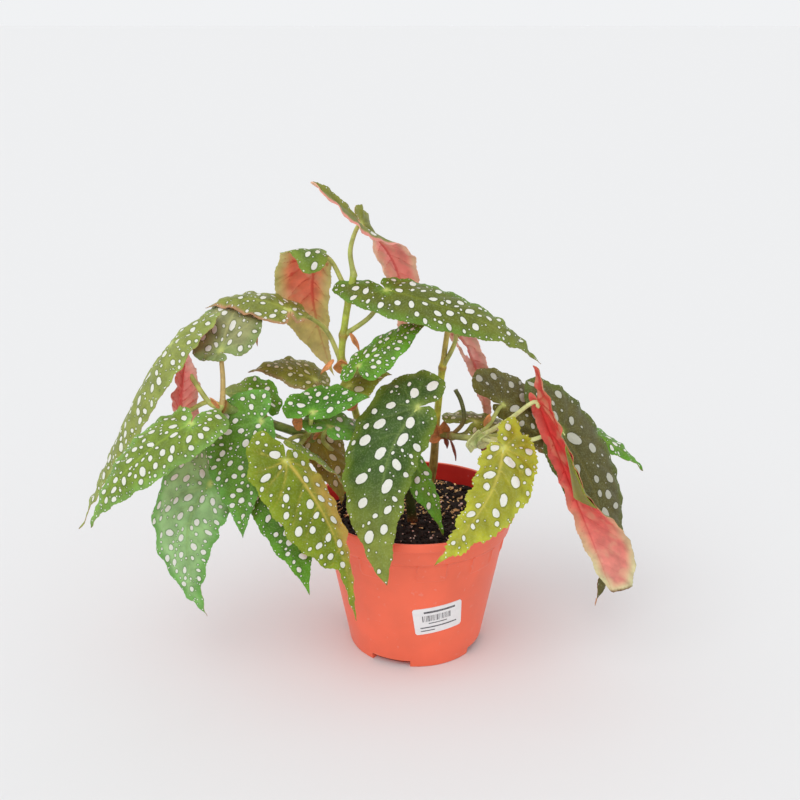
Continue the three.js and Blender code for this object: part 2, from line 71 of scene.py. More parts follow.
def curve(points, at, centripetal=False):
    """Points on the Catmull-Rom curve through points, at shares 0 to 1 of its spans."""
    p = np.asarray(points, float)
    p = np.vstack([2 * p[0] - p[1], p, 2 * p[-1] - p[-2]])
    place = np.clip(np.asarray(at, float) * (len(p) - 3), 0, len(p) - 3 - 1e-9)
    i = place.astype(int)
    w = (place - i)[:, None]
    p0, p1, p2, p3 = (p[i + k] for k in range(4))
    m1, m2 = (p2 - p0) / 2, (p3 - p1) / 2
    if centripetal:
        a, b, c = (np.linalg.norm(e, axis=1, keepdims=True) ** 0.5 for e in (p1 - p0, p2 - p1, p3 - p2))
        m1 = ((p1 - p0) / a - (p2 - p0) / (a + b) + (p2 - p1) / b) * b
        m2 = ((p2 - p1) / b - (p3 - p1) / (b + c) + (p3 - p2) / c) * b
    return p1 + m1 * w + (3 * (p2 - p1) - 2 * m1 - m2) * w**2 + (2 * (p1 - p2) + m1 + m2) * w**3


def even(points, step):
    """The polyline resampled at nearly even steps."""
    gaps = np.linalg.norm(np.diff(points, axis=0), axis=1)
    run = np.concatenate([[0], np.cumsum(gaps)])
    at = np.linspace(0, run[-1], max(2, int(round(run[-1] / step)) + 1))
    return np.column_stack([np.interp(at, run, points[:, k]) for k in range(points.shape[1])])


# ---------- shape of the plant ----------

# Outlines of the two halves of a blade: places along it, as shares of its length or, behind the petiole, of
# its lobe, and shares of its half width.
MARGINS = {
    "wide": [
        [0, 0], [-0.3, -0.2], [-0.72, -0.24], [-1, 0], [-0.98, 0.4], [-0.55, 0.78],
        [0.02, 1], [0.22, 1], [0.42, 0.9], [0.6, 0.67], [0.76, 0.36], [0.9, 0.12], [1, 0],
    ],
    "narrow": [
        [0, 0], [-0.35, 0.3], [-0.3, 0.68], [0.06, 0.98], [0.24, 1], [0.44, 0.84],
        [0.63, 0.54], [0.79, 0.25], [0.91, 0.09], [1, 0],
    ],
}
TORN_MARGINS = {
    "wide": [
        [0, 0], [-0.3, 0.16], [-0.72, 0.36], [-1, 0.56], [-0.96, 0.74], [-0.55, 0.9],
        [0.02, 1], [0.22, 1], [0.45, 0.97], [0.65, 0.9], [0.84, 0.76], [0.97, 0.45], [1, 0],
    ],
    "narrow": [*MARGINS["narrow"][:5], [0.46, 0.95], [0.7, 0.8], [0.88, 0.56], [0.98, 0.2], [1, 0]],
}
STRIP_MARGINS = {
    "wide": [
        *MARGINS["wide"][:8], [0.36, 0.97], [0.5, 0.82], [0.61, 0.52], [0.71, 0.18], [0.83, 0.11], [1, 0],
    ],
    "narrow": [*MARGINS["narrow"][:5], [0.42, 0.88], [0.58, 0.6], [0.7, 0.28], [0.82, 0.17], [1, 0]],
}
BROAD_MARGINS = {
    "wide": [*MARGINS["wide"][:8], [0.45, 0.91], [0.64, 0.68], [0.8, 0.38], [0.93, 0.17], [1, 0]],
    "narrow": [*MARGINS["narrow"][:5], [0.46, 0.87], [0.66, 0.6], [0.82, 0.34], [0.94, 0.15], [1, 0]],
}
PEAKED_MARGINS = {
    "wide": [
        [0, 0], [-0.3, -0.22], [-0.76, -0.16], [-1.12, 0.1], [-0.86, 0.34], [-0.45, 0.66],
        [0.02, 0.96], *MARGINS["wide"][7:],
    ],
    "narrow": MARGINS["narrow"],
}
NARROW_LOBE_SHARE = 0.45
PLAIN = dict(
    bow=6, sweep=0, turn=0, twist=[0, 0, 1], lobe=28, droop=20, cup=-6, curl=-24, open=1, margins=MARGINS,
)

LEAVES = {
    "leaf_top": dict(
        petiole=[[-41, 0, 266], [-43, 0, 284], [-36, 0, 301]], tip=[-12, 45, 206],
        bow=14, turn=34, twist=[-52, -0.1, 0.35], wide="right", widths=[18, 15], lobe=50, droop=0,
        cup=[-6, 60], open=0,
    ),
    "leaf_upper_right": dict(
        petiole=[[-48, 1, 226], [-30, -5, 241], [-20, -10, 260]], tip=[82, -10, 209],
        bow=[15, 0.6], sweep=-3, turn=30, wide="right", widths=[19, 22], lobe=35,
    ),
    "leaf_olive_right": dict(
        petiole=[[42, -9, 156], [51, -4, 166], [59, 0, 177]], tip=[110, 5, 126],
        bow=4, turn=52, wide="left", widths=[30, 9], lobe=27, droop=0, cup=[-6, -45],
    ),
    "leaf_dark_right": dict(
        petiole=[[42, -9, 156], [76, -6, 153], [100, 0, 158]], tip=[127, -20, 33],
        bow=8, sweep=[14, 0.6], turn=20, wide="left", widths=[35, 20], lobe=40,
    ),
    "leaf_hanging_right": dict(
        petiole=[[42, -9, 156], [60, -19, 172], [79, -30, 191]], tip=[133, -50, 60],
        bow=0, turn=-48, twist=[-40, 0.4, 0.8], wide="right", widths=[33, 9], lobe=26, droop=0,
        margins=TORN_MARGINS,
    ),
    "leaf_far_right": dict(
        petiole=[[42, -9, 156], [78, 18, 150], [115, 42, 145]], tip=[169, 42, 110],
        bow=5, turn=20, wide="left", widths=[16, 12], lobe=16,
    ),
    "leaf_front_right": dict(
        petiole=[[42, -9, 156], [49, -28, 161], [56, -45, 164]], tip=[11, -82, 98],
        bow=6, sweep=9, turn=-25, wide="left", widths=[23, 14], lobe=22,
        margins=PEAKED_MARGINS,
    ),
    "leaf_front_centre": dict(
        petiole=[[-10, -16, 164], [-6, -28, 178], [1, -40, 190]], tip=[-19, -88, 87],
        bow=8, sweep=-12, turn=-12, wide="right", widths=[32, 18], lobe=26,
        margins=BROAD_MARGINS,
    ),
    "leaf_small_front": dict(
        petiole=[[-8, -15, 148], [-9, -22, 156], [-6, -28, 156]], tip=[18, -48, 102],
        bow=4, turn=15, wide="left", widths=[9, 13], lobe=8,
    ),
    "leaf_front_left": dict(
        petiole=[[-74, -18, 161], [-80, -46, 160], [-82, -69, 165]], tip=[-39, -92, 64],
        bow=6, sweep=[6, 0.5], turn=20, wide="right", widths=[27, 15], lobe=24,
        margins=STRIP_MARGINS,
    ),
    "leaf_narrow_left": dict(
        petiole=[[-74, -18, 161], [-80, -32, 166], [-84, -40, 167]], tip=[-47, -36, 131],
        bow=4, wide="left", widths=[12, 7], lobe=14,
    ),
    "leaf_low_left": dict(
        petiole=[[-98, -33, 177], [-100, -44, 164], [-98, -50, 150]], tip=[-69, -82, 77],
        bow=5, sweep=2, turn=30, wide="right", widths=[20, 24], lobe=20,
    ),
    "leaf_mid_left": dict(
        petiole=[[-98, -33, 177], [-98, -40, 181], [-99, -49, 184]], tip=[-112, -68, 110],
        bow=6, turn=-35, wide="right", widths=[34, 10], lobe=20,
    ),
    "leaf_lower_left": dict(
        petiole=[[-98, -33, 177], [-104, -40, 172], [-118, -47, 159], [-133, -55, 143]],
        tip=[-138, -70, 54], bow=5, sweep=-13, wide="right", widths=[34, 21], lobe=17,
    ),
    "leaf_side_left": dict(
        petiole=[[-124, -45, 192], [-132, -58, 187], [-140, -69, 190]], tip=[-206, -79, 123],
        bow=12, turn=-35, wide="left", widths=[20, 22], lobe=24, droop=50,
    ),
    "leaf_arching_left": dict(
        petiole=[[-124, -45, 192], [-131, -42, 192], [-142, -32, 202], [-153, -24, 218], [-159, -20, 227]],
        tip=[-223, -45, 105], bow=[5, 0.3], turn=4, wide="left", widths=[27, 17], lobe=35, droop=35,
    ),
    "leaf_high_left": dict(
        petiole=[[-124, -45, 192], [-124, -38, 208], [-126, -30, 224]], tip=[-112, 46, 205],
        bow=[30, 0.5], wide="left", widths=[20, 21], lobe=7, droop=10, cup=0, curl=-16,
    ),
    "leaf_back_left": dict(
        petiole=[[-50, 2, 206], [-62, 22, 224], [-76, 10, 238], [-83, -5, 245]], tip=[-141, 10, 242],
        bow=8, turn=-15, wide="right", widths=[20, 15], lobe=12, cup=[-6, -35], curl=[-24, 30],
    ),
    "leaf_hanging_left": dict(
        petiole=[[-45, 0, 252], [-50, 10, 262], [-58, 16, 274], [-66, 20, 275]], tip=[-57, 28, 188],
        bow=8, sweep=8, turn=-45, wide="left", widths=[26, 12], lobe=32, droop=160,
    ),
    "leaf_young_coral": dict(
        petiole=[[-124, -45, 192], [-135, -36, 192], [-150, -34, 184], [-153, -37, 185]],
        tip=[-147, -30, 229], bow=0, turn=-140, wide="left", widths=[13, 10], lobe=6, cup=40, curl=10,
    ),
    "leaf_olive_left": dict(
        petiole=[[-44, 8, 178], [-58, 9, 182], [-68, 5, 193]], tip=[-115, 10, 197],
        bow=6, turn=-20, wide="right", widths=[24, 12], lobe=12,
    ),
    "leaf_inner_left": dict(
        petiole=[[-98, -33, 177], [-100, -32, 184], [-99, -34, 190]], tip=[-128, -28, 196],
        bow=4, turn=-35, wide="right", widths=[22, 10], lobe=12,
    ),
    "leaf_centre_upper": dict(
        petiole=[[-74, -18, 161], [-70, -32, 170], [-67, -42, 187]], tip=[-30, -35, 195],
        bow=0, turn=38, wide="left", widths=[23, 6], lobe=18, droop=-25,
    ),
    "leaf_centre_lower": dict(
        petiole=[[-48, 0, 135], [-62, -26, 162], [-57, -36, 175]], tip=[-27, -14, 158],
        bow=4, turn=30, wide="left", widths=[22, 10], lobe=16,
    ),
    "leaf_shadow_centre": dict(
        petiole=[[-48, 0, 135], [-62, -10, 152], [-68, -12, 163]], tip=[-50, -24, 113],
        bow=5, turn=20, wide="left", widths=[18, 14], lobe=10,
    ),
    "leaf_small_spotted": dict(
        petiole=[[-50, 2, 206], [-44, -14, 206], [-38, -26, 213]], tip=[13, -8, 242],
        bow=3, turn=25, wide="left", widths=[13, 15], lobe=14,
    ),
    "leaf_cream_spotted": dict(
        petiole=[[-44, 8, 178], [-49, -3, 184], [-45, -14, 195]], tip=[-16, -6, 201],
        bow=4, turn=20, wide="left", widths=[15, 14], lobe=8,
    ),
    "leaf_back_right": dict(
        petiole=[[18, 12, 200], [24, 8, 213], [27, 14, 219], [27, 20, 224]], tip=[52, 30, 142],
        bow=4, sweep=-6, turn=-60, wide="right", widths=[9, 6], lobe=8,
    ),
    "leaf_low_back_right": dict(
        petiole=[[24, 8, 151], [34, 9, 152], [41, 10, 161]], tip=[96, 15, 132],
        bow=5, turn=20, wide="left", widths=[18, 15], lobe=22,
    ),
}

CANES = {
    "main_cane": dict(
        radius=3.4, nodes=[[-44, 8, 178, 4.4], [-50, 2, 206, 4.6], [-48, 1, 226, 4.4], [-45, 0, 252, 4.2]],
        path=[[-24, 30, 62], [-26, 26, 90], [-38, 14, 150], [-46, 5, 189], [-50, 2, 206], [-47, 0, 237],
              [-41, 0, 268]],
    ),
    "second_cane": dict(
        radius=3.6, nodes=[[15, 21, 147, 4.6], [18, 12, 200, 4.6]],
        path=[[9, 36, 62], [9, 34, 90], [13, 26, 120], [15, 20, 158], [18, 12, 198], [21, 8, 226],
              [23, 6, 240]],
    ),
    "left_cane": dict(
        radius=3.2,
        nodes=[[-48, 0, 135, 4.2], [-74, -18, 161, 4.6], [-98, -33, 177, 4.4], [-124, -45, 192, 5]],
        path=[[-30, 12, 62], [-33, 11, 90], [-46, 2, 132], [-74, -18, 161], [-102, -35, 179],
              [-124, -45, 192]],
    ),
    "front_cane": dict(
        radius=3.6, nodes=[[-8, -15, 148, 4.6], [-10, -16, 164, 4.6]],
        path=[[-1, -8, 62], [-2, -8, 90], [-4, -12, 115], [-8, -15, 150], [-10, -16, 166]],
    ),
    "side_shoot": dict(
        radius=2.3, nodes=[[25, 7, 151.5, 3.4], [42, -9, 156, 5.4]],
        path=[[15, 21, 147], [24, 8, 151], [34, -3, 154], [42, -9, 156]],
    ),
    "red_cane": dict(
        radius=3, nodes=[[52, -7, 141, 3.8]],
        path=[[46, 10, 62], [49, 7, 90], [54, -2, 122], [52, -7, 140]],
    ),
    "dry_petiole": dict(
        radius=1.6, nodes=[],
        path=[[25, 7, 151.5], [33, 3, 164], [31, 4, 178], [27, 5, 186]],
    ),
}

STIPULES = {
    "stipule_main_high": dict(base=[-44, -4, 229], tip=[-38, -6, 217], widths=[4, 3.5]),
    "stipule_main_low": dict(base=[-55, -2, 210], tip=[-64, -4, 200], widths=[5, 4]),
    "stipule_centre": dict(base=[-78, -26, 168], tip=[-78, -35, 184], widths=[4, 3.5]),
    "stipule_left": dict(base=[-126, -51, 193], tip=[-130, -56, 202], widths=[4, 3]),
}


class Blade:
    """The bent sheet of a leaf, reached by mm along its midrib and mm across it."""

    def __init__(self, leaf):
        self.leaf = {**PLAIN, **leaf}
        self.base = np.array(leaf["petiole"][-1] if "petiole" in leaf else leaf["base"], float)
        self.chord = np.array(leaf["tip"], float) - self.base
        self.length = np.linalg.norm(self.chord)
        forward = self.chord / self.length
        up = unit(np.array([0, 0, 1.0]) - forward * forward[2])
        self.up = turned(up, forward, math.radians(self.leaf["turn"]))
        self.left = np.cross(self.up, forward)

    def frame(self, along):
        leaf = self.leaf
        t = np.maximum(0, along / self.length)[:, None]
        point = self.base + self.chord * t
        tangent = np.repeat(self.chord[None], len(t), axis=0)
        for direction, amount, usual_crown in ((self.up, leaf["bow"], 0.5), (self.left, leaf["sweep"], 0.4)):
            height, crown = amount if isinstance(amount, list) else (amount, usual_crown)
            reach = np.where(t < crown, crown, 1 - crown)
            d = (t - crown) / reach
            point = point + direction * height * (1 - d * d)
            tangent = tangent + direction * height * (-2 * d / reach)
        tangent = unit(tangent)
        left = unit(self.left - tangent * dot(self.left[None], tangent))
        roll, start, end = leaf["twist"]
        left = turned(left, tangent, np.radians(roll * smoothstep(t, start, end)))
        up = np.cross(tangent, left)
        bend = (math.radians(leaf["droop"]) or 1e-4) / leaf["lobe"]
        angle = np.maximum(0, -along)[:, None] * bend
        point = point - tangent * np.sin(angle) / bend + up * (np.cos(angle) - 1) / bend
        tangent = turned(tangent, left, -angle)
        return point, left, np.cross(tangent, left)

    def point(self, along, across):
        leaf = self.leaf
        far = (across > 0) != (leaf["wide"] == "left")
        share = 1 + (leaf["open"] - 1) * np.clip(along / self.length, 0, 1)

        def pick(value):
            wide, narrow = value if isinstance(value, list) else (value, value)
            return np.radians(np.where(far, narrow, wide)) * share

        width = np.where(far, leaf["widths"][1], leaf["widths"][0])
        cup, curl = pick(leaf["cup"]), pick(leaf["curl"])
        curl = np.where(curl == 0, 1e-4, curl)
        q = np.abs(across) / width
        out = (np.sin(cup + curl * q) - np.sin(cup)) / curl
        rise = (np.cos(cup) - np.cos(cup + curl * q)) / curl
        point, left, up = self.frame(along)
        return point + left * (np.sign(across) * out * width)[:, None] + up * (rise * width)[:, None]

    def normal(self, along, across):
        nudge = 0.5
        ahead = self.point(along + nudge, across) - self.point(along - nudge, across)
        aside = self.point(along, across + nudge) - self.point(along, across - nudge)
        return unit(np.cross(ahead, aside))

    def margin(self, side):
        """One side's flat margin as closely set points, from the petiole to the tip."""
        leaf = self.leaf
        wide = side == leaf["wide"]
        back = leaf["lobe"] * (1 if wide else NARROW_LOBE_SHARE)
        sign = 1 if side == "left" else -1
        points = [[along * (back if along < 0 else self.length), across] for along, across
                  in leaf["margins"]["wide" if wide else "narrow"]]
        line = curve(points, np.linspace(0, 1, 500))
        over = min(leaf["widths"][0], 1.4 * leaf["widths"][1])
        line[:, 1] *= sign * np.where(line[:, 1] < 0, over, leaf["widths"][0 if wide else 1])
        return line


# ---------- meshes ----------

SHARP_ANGLE = 55


def placed(name, data):
    """A new object in the scene."""
    made = bpy.data.objects.new(name, data)
    bpy.context.scene.collection.objects.link(made)
    return made


class Parts:
    """The parts of one mesh: points in mm, triangles, material slots and colours."""

    def __init__(self):
        self.points, self.triangles, self.slots, self.tones = [], [], [], []
        self.count = 0

    def add(self, points, triangles, tone=None, slot=0):
        self.points.append(points)
        self.triangles.append(triangles + self.count)
        self.slots.append(np.broadcast_to(slot, len(triangles)))
        if tone is not None:
            self.tones.append(np.column_stack([np.broadcast_to(tone, points.shape), np.ones(len(points))]))
        self.count += len(points)

    def hand_over(self, name, node, slot, materials, attributes=()):
        """Makes the piece that takes the CAD node's place. attributes are (name, kind, domain, values)."""
        mesh = bpy.data.meshes.new(name)
        triangles = np.vstack(self.triangles).astype(np.int32)
        mesh.vertices.add(self.count)
        mesh.vertices.foreach_set("co", (np.vstack(self.points).astype(np.float32) * MM).ravel())
        mesh.loops.add(triangles.size)
        mesh.loops.foreach_set("vertex_index", triangles.ravel())
        mesh.polygons.add(len(triangles))
        mesh.polygons.foreach_set("loop_start", np.arange(0, triangles.size, 3, dtype=np.int32))
        for material in materials:
            mesh.materials.append(material)
        mesh.polygons.foreach_set("material_index", np.concatenate(self.slots).astype(np.int32))
        mesh.update(calc_edges=True)
        if self.tones:
            attributes = [("tone", "FLOAT_COLOR", "POINT", np.vstack(self.tones)), *attributes]
        for label, kind, domain, values in attributes:
            layer = mesh.attributes.new(label, kind, domain)
            key = "color" if kind == "FLOAT_COLOR" else "vector"
            layer.data.foreach_set(key, np.asarray(values, np.float32).ravel())
        mesh.validate()
        mesh.set_sharp_from_angle(angle=math.radians(SHARP_ANGLE))
        piece = placed(name, mesh)
        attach(piece, "root")
        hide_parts(node)


def grid_triangles(rows, columns, closed=True, looped=False):
    """Triangles of a grid numbered row by row; closed joins its last column to its first, looped its rows."""
    last_row = rows if looped else rows - 1
    last_column = columns if closed else columns - 1
    i, j = np.meshgrid(np.arange(last_row), np.arange(last_column), indexing="ij")
    below, k = (i + 1) % rows, (j + 1) % columns
    a, b = i * columns + j, i * columns + k
    c, d = below * columns + k, below * columns + j
    return np.concatenate([np.stack([a, b, c], -1).reshape(-1, 3), np.stack([a, c, d], -1).reshape(-1, 3)])


def ring_edges(ring):
    """Pairs of neighbours round the ring."""
    return np.column_stack([ring, np.roll(ring, -1)])


def plate(front, back, sheet, edges):
    """Points and triangles of a closed plate; edges run along the rim of the front's triangles, sheet."""
    size = len(front)
    start, end = edges.T
    wall = [np.column_stack([start, start + size, end + size]), np.column_stack([start, end + size, end])]
    return np.vstack([front, back]), np.vstack([sheet, sheet[:, ::-1] + size, *wall])


def grid_plate(front, back, rows, columns):
    """The closed plate between two grids of points."""
    index = np.arange(rows * columns).reshape(rows, columns)
    ring = np.concatenate([index[0, :-1], index[:-1, -1], index[-1, :0:-1], index[:0:-1, 0]])
    return plate(front, back, grid_triangles(rows, columns, closed=False), ring_edges(ring))


def tube(path, radii, sides):
    """Points and triangles of a round rod along path, closed at both ends by a point."""
    tangent = unit(np.gradient(path, axis=0))
    side = np.cross(tangent[0], [0.3, 1, 0.2])
    rings = []
    angles = np.linspace(0, 2 * math.pi, sides, endpoint=False)[:, None]
    for point, way, radius in zip(path, tangent, radii):
        side = unit(side - way * np.dot(side, way))
        other = np.cross(way, side)
        rings.append(point + radius * (np.cos(angles) * side + np.sin(angles) * other))
    points = np.vstack([*rings, path[:1], path[-1:]])
    count = len(path) * sides
    here, follow = ring_edges(np.arange(sides)).T
    last = count - sides
    start = np.column_stack([np.full(sides, count), follow, here])
    end = np.column_stack([np.full(sides, count + 1), last + here, last + follow])
    return points, np.vstack([grid_triangles(len(path), sides), start, end])


# ---------- leaf patterns ----------

# Kinds of spot: least and greatest short half axis, leaf area for each spot, room between them, and the
# greatest ratio of long to short.
SPOT_SIZES = (
    (1.9, 2.8, 250, 3.2, 1.8), (1.1, 1.8, 300, 2.4, 1.7),
    (0.6, 1.0, 260, 2.0, 1.4), (0.35, 0.55, 260, 1.4, 1.2),
)
LEAST_STRETCH = 1.12
TRIES = 14
SIDE_VEINS = (0.16, 0.3, 0.44, 0.58, 0.72, 0.84)


def inside(points, outline):
    """Whether each flat point lies within the closed outline."""
    x, y = points[:, :1], points[:, 1:]
    x0, y0 = outline[:, 0], outline[:, 1]
    x1, y1 = np.roll(x0, -1), np.roll(y0, -1)
    with np.errstate(divide="ignore", invalid="ignore"):
        crossing = ((y0 > y) != (y1 > y)) & (x < (x1 - x0) * (y - y0) / (y1 - y0) + x0)
    return crossing.sum(1) % 2 == 1


def nearest(points, line_points):
    """Distance to the nearest of line_points, and its number."""
    gap = np.linalg.norm(points[:, None] - line_points[None], axis=2)
    which = gap.argmin(1)
    return gap[np.arange(len(points)), which], which


def serrated(line, rng, depth, sway):
    """The margin, swaying gently in and out, with fine uneven teeth that point towards the tip."""
    run = np.concatenate([[0], np.cumsum(np.linalg.norm(np.diff(line, axis=0), axis=1))])
    teeth = np.concatenate([[0], np.cumsum(rng.uniform(2.2, 4.6, int(run[-1] / 2) + 4))])
    size = rng.uniform(0.35, 1.0, len(teeth))
    which = np.searchsorted(teeth, run, side="right") - 1
    share = (run - teeth[which]) / (teeth[which + 1] - teeth[which])
    height = depth * size[which] * np.where(share < 0.75, share / 0.75, (1 - share) / 0.25)
    first, second = rng.uniform(0, 6.28, 2)
    height = height + sway * (np.sin(run / 2.6 + first) + 0.8 * np.sin(run / 4.3 + second))
    height = height * smoothstep(run, 4, 9) * smoothstep(run[-1] - run, 4, 16)
    way = np.gradient(line, axis=0)
    out = unit(np.column_stack([way[:, 1], -way[:, 0]]))
    half = len(line) // 2
    sign = np.sign(np.sum((line[half] - (line[0] + line[-1]) / 2) * out[half]))
    return line + out * (sign * height)[:, None]


def vein(start, end, bulge, wide, thin):
    """Rows of place, half width and direction along one bowed vein."""
    start, way = np.asarray(start, float), np.subtract(end, start, dtype=float)
    t = np.linspace(0, 1, max(6, int(np.linalg.norm(way) / 0.8)))[:, None]
    line = start + way * t + np.array([-way[1], way[0]]) * bulge * 4 * t * (1 - t)
    return np.column_stack([line, wide + (thin - wide) * t, np.repeat(unit(way)[None], len(t), 0)])


def vein_lines(blade, rng):
    """The midrib, the veins that fan out from the petiole and the side veins, each with its forks."""
    length = blade.length
    runs = [vein([0, 0], [length * 0.985, 0], rng.uniform(-0.012, 0.012), 1.1, 0.35)]
    for side, sign in (("left", 1), ("right", -1)):
        margin, wide = blade.margin(side), side == blade.leaf["wide"]
        way = margin - margin[0]
        heading = np.degrees(np.arctan2(np.abs(way[:, 1]), way[:, 0]))
        outer = way[:, 1] * sign > 0.12 * blade.leaf["widths"][0]
        for wanted in (150, 112, 78, 52) if wide else (120, 75, 45):
            ok = np.where(outer & (heading < wanted + 12))[0]
            if not len(ok):
                continue
            end = margin[ok[np.abs(heading[ok] - wanted).argmin()]]
            runs.append(vein([0, 0], end * 0.96, -sign * 0.05, 0.75, 0.25))
            fork = runs[-1][int(len(runs[-1]) * 0.55), :2]
            for turn in (-0.32, 0.3):
                c, s = math.cos(turn), math.sin(turn)
                x, y = (end - fork) * 0.86
                runs.append(vein(fork, fork + [x * c - y * s, y * c + x * s], 0.04 * turn, 0.4, 0.2))
        for share in SIDE_VEINS:
            start = np.array([length * (share + (0 if wide else 0.05)), 0])
            way = margin - start
            heading = np.degrees(np.arctan2(np.abs(way[:, 1]), way[:, 0]))
            end = margin[np.abs(heading - (44 if wide else 38)).argmin()]
            runs.append(vein(start, start + (end - start) * 0.95, sign * 0.06, 0.6 - 0.3 * share, 0.2))
            fork = runs[-1][len(runs[-1]) // 2, :2]
            x, y = end - fork
            runs.append(vein(fork, fork + [x * 0.8 - y * 0.25 * sign, y * 0.8], 0, 0.3, 0.18))
    return np.vstack(runs)


def spot_layout(outline, veins, area, rng, scale, crowd):
    """Oval spots between the veins, as rows of x, y, long and short half axes, and angle."""
    low, high = outline.min(0), outline.max(0)
    found = []
    for smallest, largest, share, room, stretch in SPOT_SIZES:
        wanted = int(area * crowd / (share * scale * scale))
        places = rng.uniform(low, high, (wanted * TRIES, 2))
        places = places[inside(places, outline)]
        if not len(places):
            continue
        edge = nearest(places, outline)[0]
        gap, which = nearest(places, veins[:, :2])
        left = wanted
        for place, to_edge, to_vein, beside in zip(places, edge, gap, veins[which]):
            if not left:
                break
            short = scale * rng.uniform(smallest, largest) * (0.7 + 0.3 * min(1, to_edge / 9))
            long = short * rng.uniform(LEAST_STRETCH, stretch)
            if to_edge < long + 0.9 or to_vein < short * 0.6 + beside[2] * 0.6:
                continue
            if found:
                others = np.array(found)
                between = np.linalg.norm(others[:, :2] - place, axis=1)
                if np.any(between < (others[:, 2] + others[:, 3] + long + short) / 2 + room * scale):
                    continue
            found.append([*place, long, short, math.atan2(beside[4], beside[3]) + rng.normal(0, 0.25)])
            left -= 1
    return np.array(found)


def dot_layout(outline, rng, crowd):
    """Tiny round dots: some anywhere on the blade, the others just inside its margin."""
    low, high = outline.min(0), outline.max(0)
    free = rng.uniform(low, high, (int((high - low).prod() / 200 * crowd), 2))
    free = free[inside(free, outline)]
    step = rng.integers(8, 22, len(outline)).cumsum()
    step = step[step < len(outline) - 3]
    way = outline[step + 1] - outline[step - 1]
    near = outline[step] + unit(np.column_stack([-way[:, 1], way[:, 0]])) * 1.1
    flipped = ~inside(near, outline)
    near[flipped] = 2 * outline[step][flipped] - near[flipped]
    dots = np.vstack([free, near])
    size = rng.uniform(0.2, 0.42, len(dots))
    return np.column_stack([dots, size, size, size * 0])


def local_spots(triangles, chart, spots):
    """For each triangle corner, where it lies in the nearest spot, whose rim is at 1, and the spot's size."""
    corners = chart[triangles]
    centre = corners.mean(1)
    gap = np.linalg.norm(centre[:, None] - spots[None, :, :2], axis=2) - spots[None, :, 2]
    near = spots[gap.argmin(1)][:, None]
    away = corners - near[..., :2]
    c, s = np.cos(near[..., 4]), np.sin(near[..., 4])
    x = (away[..., 0] * c + away[..., 1] * s) / near[..., 2]
    y = (away[..., 1] * c - away[..., 0] * s) / near[..., 3]
    size = np.repeat(near[..., 3], 3, axis=1)
    return np.stack([x, y, size], -1).reshape(-1, 3)


# ---------- colours ----------


def rgb(red, green, blue):
    """An sRGB colour, each part 0 to 255, as linear light."""
    c = np.array([red, green, blue]) / 255
    return np.where(c < 0.04045, c / 12.92, ((c + 0.055) / 1.055) ** 2.4)


def mixed(a, b, share):
    return a + (b - a) * np.asarray(share)[:, None]


class Shader:
    """A node material, built up by calls that return output sockets."""

    def __init__(self, name):
        self.material = bpy.data.materials.new(name)
        self.material.use_nodes = True
        self.tree = self.material.node_tree
        self.surface = self.tree.nodes["Principled BSDF"]

    def node(self, kind, values=(), **settings):
        made = self.tree.nodes.new("ShaderNode" + kind)
        for key, value in settings.items():
            setattr(made, key, value)
        for place, value in enumerate(values):
            self.put(made.inputs[place], value)
        return made

    def put(self, socket, value):
        if isinstance(value, bpy.types.NodeSocket):
            self.tree.links.new(value, socket)
        else:
            socket.default_value = value

    def math(self, operation, *values):
        return self.node("Math", values, operation=operation).outputs[0]

    def mix(self, share, a, b, blend="MIX"):
        made = self.node("Mix", data_type="RGBA", blend_type=blend)
        for place, value in ((0, share), (6, a), (7, b)):
            if isinstance(value, np.ndarray):
                value = (*value, 1)
            self.put(made.inputs[place], value)
        return made.outputs[2]

    def times(self, a, b):
        return self.mix(1.0, a, b, "MULTIPLY")

    def ramp(self, value, low, high, start=0.0, end=1.0):
        made = self.node("MapRange", (value, low, high, start, end), interpolation_type="SMOOTHSTEP")
        return made.outputs[0]

    def tone(self):
        return self.node("Attribute", attribute_name="tone").outputs["Color"]

    def parts(self, name):
        """The three numbers of the mesh's attribute."""
        vector = self.node("Attribute", attribute_name=name).outputs["Vector"]
        return self.node("SeparateXYZ", (vector,)).outputs

    def grain(self, scale, detail):
        """Noise with scale bumps to the metre."""
        made = self.node("TexNoise")
        self.put(made.inputs["Vector"], self.node("TexCoord").outputs["Object"])
        made.inputs["Scale"].default_value = scale
        made.inputs["Detail"].default_value = detail
        return made.outputs["Fac"]

    def bump(self, height, strength, distance):
        made = self.node("Bump")
        made.inputs["Strength"].default_value = strength
        made.inputs["Distance"].default_value = distance * MM
        self.put(made.inputs["Height"], height)
        self.put(self.surface.inputs["Normal"], made.outputs[0])

    def finish(self, **values):
        for key, value in values.items():
            self.put(self.surface.inputs[key.replace("_", " ")], value)
        return self.material


UNDER_PALE, FLECK = rgb(232, 206, 160), rgb(205, 200, 150)
VEIN_TINT, UNDER_VEIN_TINT = np.array([1.45, 1.4, 1.3]), np.array([0.8, 0.3, 0.32])
HALO_TINT, SPOT_SHADE, GRAIN_TONE = np.array([[0.35, 0.42, 0.3], [0.8, 0.82, 0.76], [0.5, 0.6, 0.3]])
HALO_STRENGTH = {"spot": 0.6, "dot": 0.15}


